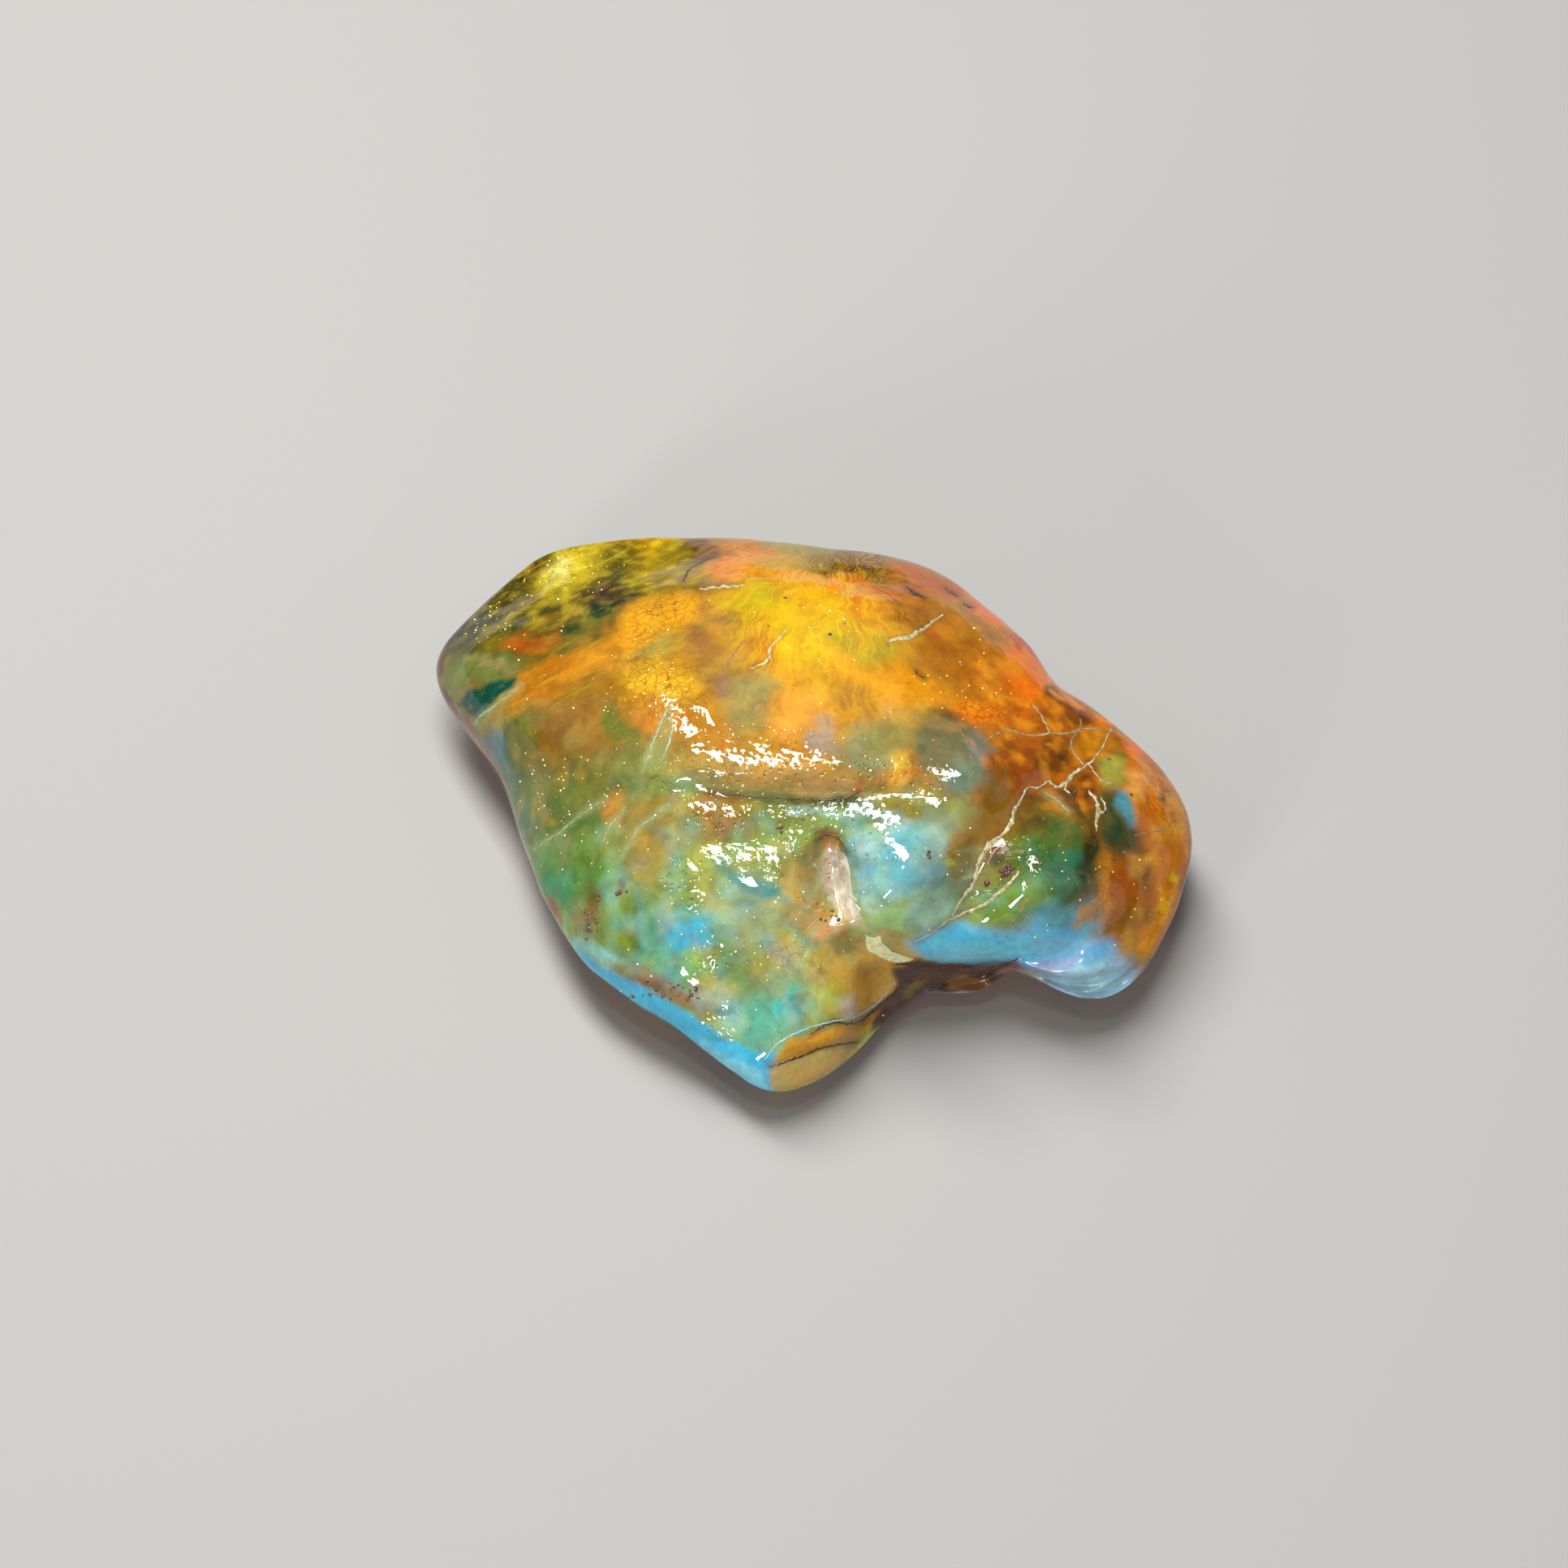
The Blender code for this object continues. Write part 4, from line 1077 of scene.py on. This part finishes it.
# Pixels from one row of a strip to the next, its vertices across as shares of its half width,
# that half as a share of the whole, and how much narrower and wider a ragged strip gets
LINE_STEP = 3.0
ACROSS = (-1.0, -0.5, 0.0, 0.5, 1.0)
HALF_WIDTH = 0.42
NARROWER, WIDER = 0.5, 0.3

# The rings of a pad, as shares of its outline, and how much of its height a strip or a pad
# sinks into the stone at its rim
PAD_RINGS = (1.0, 0.85, 0.6, 0.35, 0.12)
SUNK = 0.3


def along_line(points):
    """Evenly spaced places on a smooth line through these points, each with its share of the way."""
    points = [Vector((x, y)) for x, y in points]
    points = [2 * points[0] - points[1], *points, 2 * points[-1] - points[-2]]
    stretches = range(1, len(points) - 2)
    for i in stretches:
        a, b, c, d = points[i - 1 : i + 3]
        count = max(2, round((c - b).length / LINE_STEP))
        for k in range(count + (i == stretches[-1])):
            t = k / count
            place = (
                b
                + 0.5 * t * (c - a)
                + t**2 * (a - 2.5 * b + 2 * c - 0.5 * d)
                + 0.5 * t**3 * (d - a + 3 * (b - c))
            )
            yield place, (i - 1 + t) / len(stretches)


class Surface:
    """Finds the place on the body that the photograph shows at a pixel."""

    def __init__(self, body):
        self.tree = BVHTree.FromObject(body, bpy.context.evaluated_depsgraph_get())

    def at(self, x, y):
        """The place and its outward direction, or two Nones beside the stone."""
        place, outward, _, _ = self.tree.ray_cast(SIGHT.place, SIGHT.ray(x, y))
        return place, outward


def strip_row(bm, surface, place, side, half, rise):
    """The strip's vertices across one place, or none where part of it is beside the stone."""
    row = []
    for across in ACROSS:
        pixel = place + side * (half * across)
        spot_on, outward = surface.at(pixel.x, pixel.y)
        if spot_on is None:
            return []
        crown = rise * (1.0 - (1.0 + SUNK) * across * across)
        row.append(bm.verts.new(spot_on + outward * crown))
    return row


def add_strip(bm, surface, points, widths, rise, rough, rng):
    """A thin strip laid on the stone along a line, of uneven width."""
    rows = []
    places = list(along_line(points))
    for i, (place, share) in enumerate(places):
        ahead = places[min(i + 1, len(places) - 1)][0] - places[max(i - 1, 0)][0]
        side = Vector((-ahead.y, ahead.x)).normalized()
        uneven = rng.uniform(1.0 - NARROWER * rough, 1.0 + WIDER * rough)
        half = np.interp(share, (0.0, 0.5, 1.0), widths) * HALF_WIDTH * uneven
        place = place + side * rng.uniform(-1.0, 1.0) * rough
        rows.append(strip_row(bm, surface, place, side, half, rise))
    for first, second in zip(rows, rows[1:]):
        if first and second:
            for k in range(len(ACROSS) - 1):
                bm.faces.new((first[k], second[k], second[k + 1], first[k + 1]))


def make_strips(surface, name, lines, rise, rough, material):
    rng = random.Random(name)
    bm = bmesh.new()
    for points, widths in lines:
        add_strip(bm, surface, points, widths, rise, rough, rng)
    finish_piece(bm, name, material)


def make_pad(surface, name, outline, rise, material):
    """A thin pad laid on the stone inside an outline, swelling by rise towards its middle."""
    bm = bmesh.new()
    middle = sum((Vector(corner) for corner in outline), Vector((0, 0))) / len(outline)
    rim = [place for place, _ in along_line((*outline, outline[0]))][:-1]
    rings = []
    for size in PAD_RINGS:
        ring = []
        for place in rim:
            pixel = middle + (place - middle) * size
            spot_on, outward = surface.at(pixel.x, pixel.y)
            ring.append(bm.verts.new(spot_on + outward * (rise * ((1.0 + SUNK) * (1.0 - size**3) - SUNK))))
        rings.append(ring)
    for outer, inner in zip(rings, rings[1:]):
        for k in range(len(rim)):
            after = (k + 1) % len(rim)
            bm.faces.new((outer[k], inner[k], inner[after], outer[after]))
    bm.faces.new(rings[-1][::-1])
    finish_piece(bm, name, material)


def finish_piece(bm, name, material):
    """Makes the object, keeps it inside the solid's box and lets it ride on the nugget."""
    low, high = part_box(NODE)
    for vert in bm.verts:
        vert.co = [min(max(part, least), most) for part, least, most in zip(vert.co, low, high)]
    mesh = bpy.data.meshes.new(name)
    bm.to_mesh(mesh)
    bm.free()
    mesh.shade_smooth()
    mesh.materials.append(material)
    piece = new_object(name, mesh)
    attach(piece, "root")


# Bubbles and specks, and painted glints

# Where they gather: middle and half-sizes in the photo, and how many
# The white specks are partly real bubbles and partly painted glints: white balls crowded where the polish
# shines
WHITE_GLINT_SPECKS = (
    ((930, 940), (190, 45), 70),
    ((900, 1040), (110, 60), 60),
    ((690, 1000), (70, 90), 50),
    ((720, 780), (130, 70), 30),
    ((880, 1160), (120, 90), 50),
    ((770, 880), (130, 70), 30),
    ((1110, 1090), (80, 90), 16),
    ((1000, 900), (300, 200), 40),
)
GOLD_SPECKS = (
    ((700, 705), (80, 34), 120),
    ((610, 765), (50, 30), 60),
    ((806, 850), (50, 70), 54),
    ((1015, 770), (70, 70), 54),
    ((1180, 850), (100, 60), 48),
    ((1110, 1080), (90, 100), 36),
    ((1290, 1080), (90, 90), 36),
    ((1400, 1100), (60, 90), 30),
    ((990, 1180), (70, 50), 36),
    ((690, 990), (90, 90), 54),
    ((870, 1090), (170, 120), 72),
)
DARK_SPECKS = (
    ((726, 1134), (13, 26), 40),
    ((766, 1098), (5, 6), 8),
    ((826, 1222), (50, 12), 60),
    ((960, 1020), (6, 6), 8),
    ((1145, 1053), (5, 6), 8),
    ((1000, 760), (200, 60), 9),
    ((1330, 1000), (90, 60), 24),
    ((1018, 1130), (22, 14), 16),
)
PLUM_SPECKS = (
    ((1238, 1074), (10, 8), 12),
    ((1218, 1088), (4, 3), 3),
    ((1230, 1092), (4, 4), 4),
)

# Each piece made of specks: its name, where they are, their least and most radius and depth in
# mm, and their material's name and colour
SPECKS = (
    # white balls that paint glints, with some real bubbles among them
    ("white_bubbles", WHITE_GLINT_SPECKS, (0.04, 0.11), (-0.02, 0.05), ("white_bubble", (232, 226, 200))),
    ("gold_bubbles", GOLD_SPECKS, (0.04, 0.10), (-0.02, 0.06), ("gold_bubble", (246, 200, 84))),
    ("dark_grains", DARK_SPECKS, (0.08, 0.24), (0.0, 0.1), ("dark_grain", (64, 40, 22))),
    ("plum_grains", PLUM_SPECKS, (0.14, 0.30), (0.0, 0.1), ("plum_grain", (70, 20, 26))),
)


def make_specks(surface, name, gatherings, sizes, depths, material, seed):
    """Small round bodies at the polished skin, gathered where the photograph has them."""
    rng = random.Random(seed)
    bm = bmesh.new()
    for middle, halves, count in gatherings:
        for _ in range(count):
            x, y = rng.gauss(middle[0], halves[0] / 2), rng.gauss(middle[1], halves[1] / 2)
            place, outward = surface.at(x, y)
            if place is None:
                continue
            radius = rng.uniform(*sizes) ** 2 / sizes[1]
            centre = place - outward * rng.uniform(*depths)
            ball = bmesh.ops.create_icosphere(bm, subdivisions=1, radius=radius)["verts"]
            bmesh.ops.translate(bm, verts=ball, vec=centre)
    finish_piece(bm, name, material)


def dress_surface(surface):
    for name, lines, rise, rough, look in STRIPS:
        make_strips(surface, name, lines, rise * MM, rough, filling_material(*look))
    for name, outline, rise, look in PADS:
        make_pad(surface, name, outline, rise * MM, filling_material(*look))
    for seed, (name, gatherings, sizes, depths, look) in enumerate(SPECKS, 1):
        sizes = [size * MM for size in sizes]
        depths = [depth * MM for depth in depths]
        make_specks(surface, name, gatherings, sizes, depths, speck_material(*look), seed)


# The stage

FLOOR_HALF = 3.0
WORLD_STRENGTH = 0.10


def make_floor():
    half = FLOOR_HALF
    mesh = bpy.data.meshes.new("floor")
    corners = [(-half, -half, 0.0), (half, -half, 0.0), (half, half, 0.0), (-half, half, 0.0)]
    mesh.from_pydata(corners, [], [(0, 1, 2, 3)])
    mesh.materials.append(floor_material())
    new_object("floor", mesh)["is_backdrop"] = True


def make_camera():
    data = bpy.data.cameras.new("camera")
    data.lens = LENS_MM
    data.sensor_width = SENSOR_MM
    data.clip_start = 0.01
    camera = bpy.data.objects.new("camera", data)
    camera.location = SIGHT.place
    camera.rotation_euler = SIGHT.forward.to_track_quat("-Z", "Y").to_euler()
    bpy.context.scene.collection.objects.link(camera)
    bpy.context.scene.camera = camera


# name: place, the way its width runs, width, depth, watts, colour
LAMPS = {
    "strip": ((-0.096, 0.16, 0.519), (0.587, -0.758, 0.284), 0.54, 0.17, 6.1, (1.0, 0.99, 0.97)),
    "front left": ((-0.416, -0.64, 0.232), (0.52, -0.04, 0.85), 0.3, 0.07, 3.2, (1.0, 0.99, 0.98)),
    "high front": ((-0.0165, -0.16, 0.528), (1.0, 0.0, 0.0), 0.07, 0.06, 0.36, (1.0, 0.99, 0.97)),
    "fill left": ((-1.2, -0.1, 0.9), (0.0, 1.0, 0.0), 1.6, 1.6, 2.2, (1.0, 0.99, 0.97)),
    "fill right": ((1.2, -0.3, 0.9), (0.0, 1.0, 0.0), 1.6, 1.6, 3.2, (1.0, 0.98, 0.95)),
    "fill front": ((-0.2, -1.4, 0.6), (1.0, 0.0, 0.0), 1.6, 1.2, 4.2, (1.0, 1.0, 1.0)),
}


def make_lights():
    world = bpy.data.worlds.new("studio")
    world.use_nodes = True
    background = world.node_tree.nodes["Background"]
    background.inputs["Color"].default_value = (1.0, 1.0, 1.0, 1.0)
    background.inputs["Strength"].default_value = WORLD_STRENGTH
    bpy.context.scene.world = world
    for name, (place, along, width, depth, watts, colour) in LAMPS.items():
        data = bpy.data.lights.new(name, "AREA")
        data.shape = "RECTANGLE"
        data.size = width
        data.size_y = depth
        data.energy = watts
        data.color = colour
        lamp = new_object(name, data)
        back = Vector(place).normalized()
        aside = back.cross(Vector(along)).normalized()
        facing = Matrix((aside.cross(back), aside, back)).transposed()
        lamp.matrix_world = Matrix.LocRotScale(place, facing, None)
    bpy.context.scene.view_settings.view_transform = "Standard"


# All together


def corners(bounds):
    return [list(corner) for corner in bounds]


def main():
    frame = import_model()
    solid_box = corners(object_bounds())
    body = refined_body(frame["nodes"][NODE])
    shape_body(body, *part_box(NODE))
    paint_body(body)
    body.data.materials.append(amber_material())
    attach(body, "root")
    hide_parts(NODE)
    dress_surface(Surface(body))
    make_floor()
    make_lights()
    make_camera()
    {"solid": solid_box, "shown": corners(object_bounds())}


main()
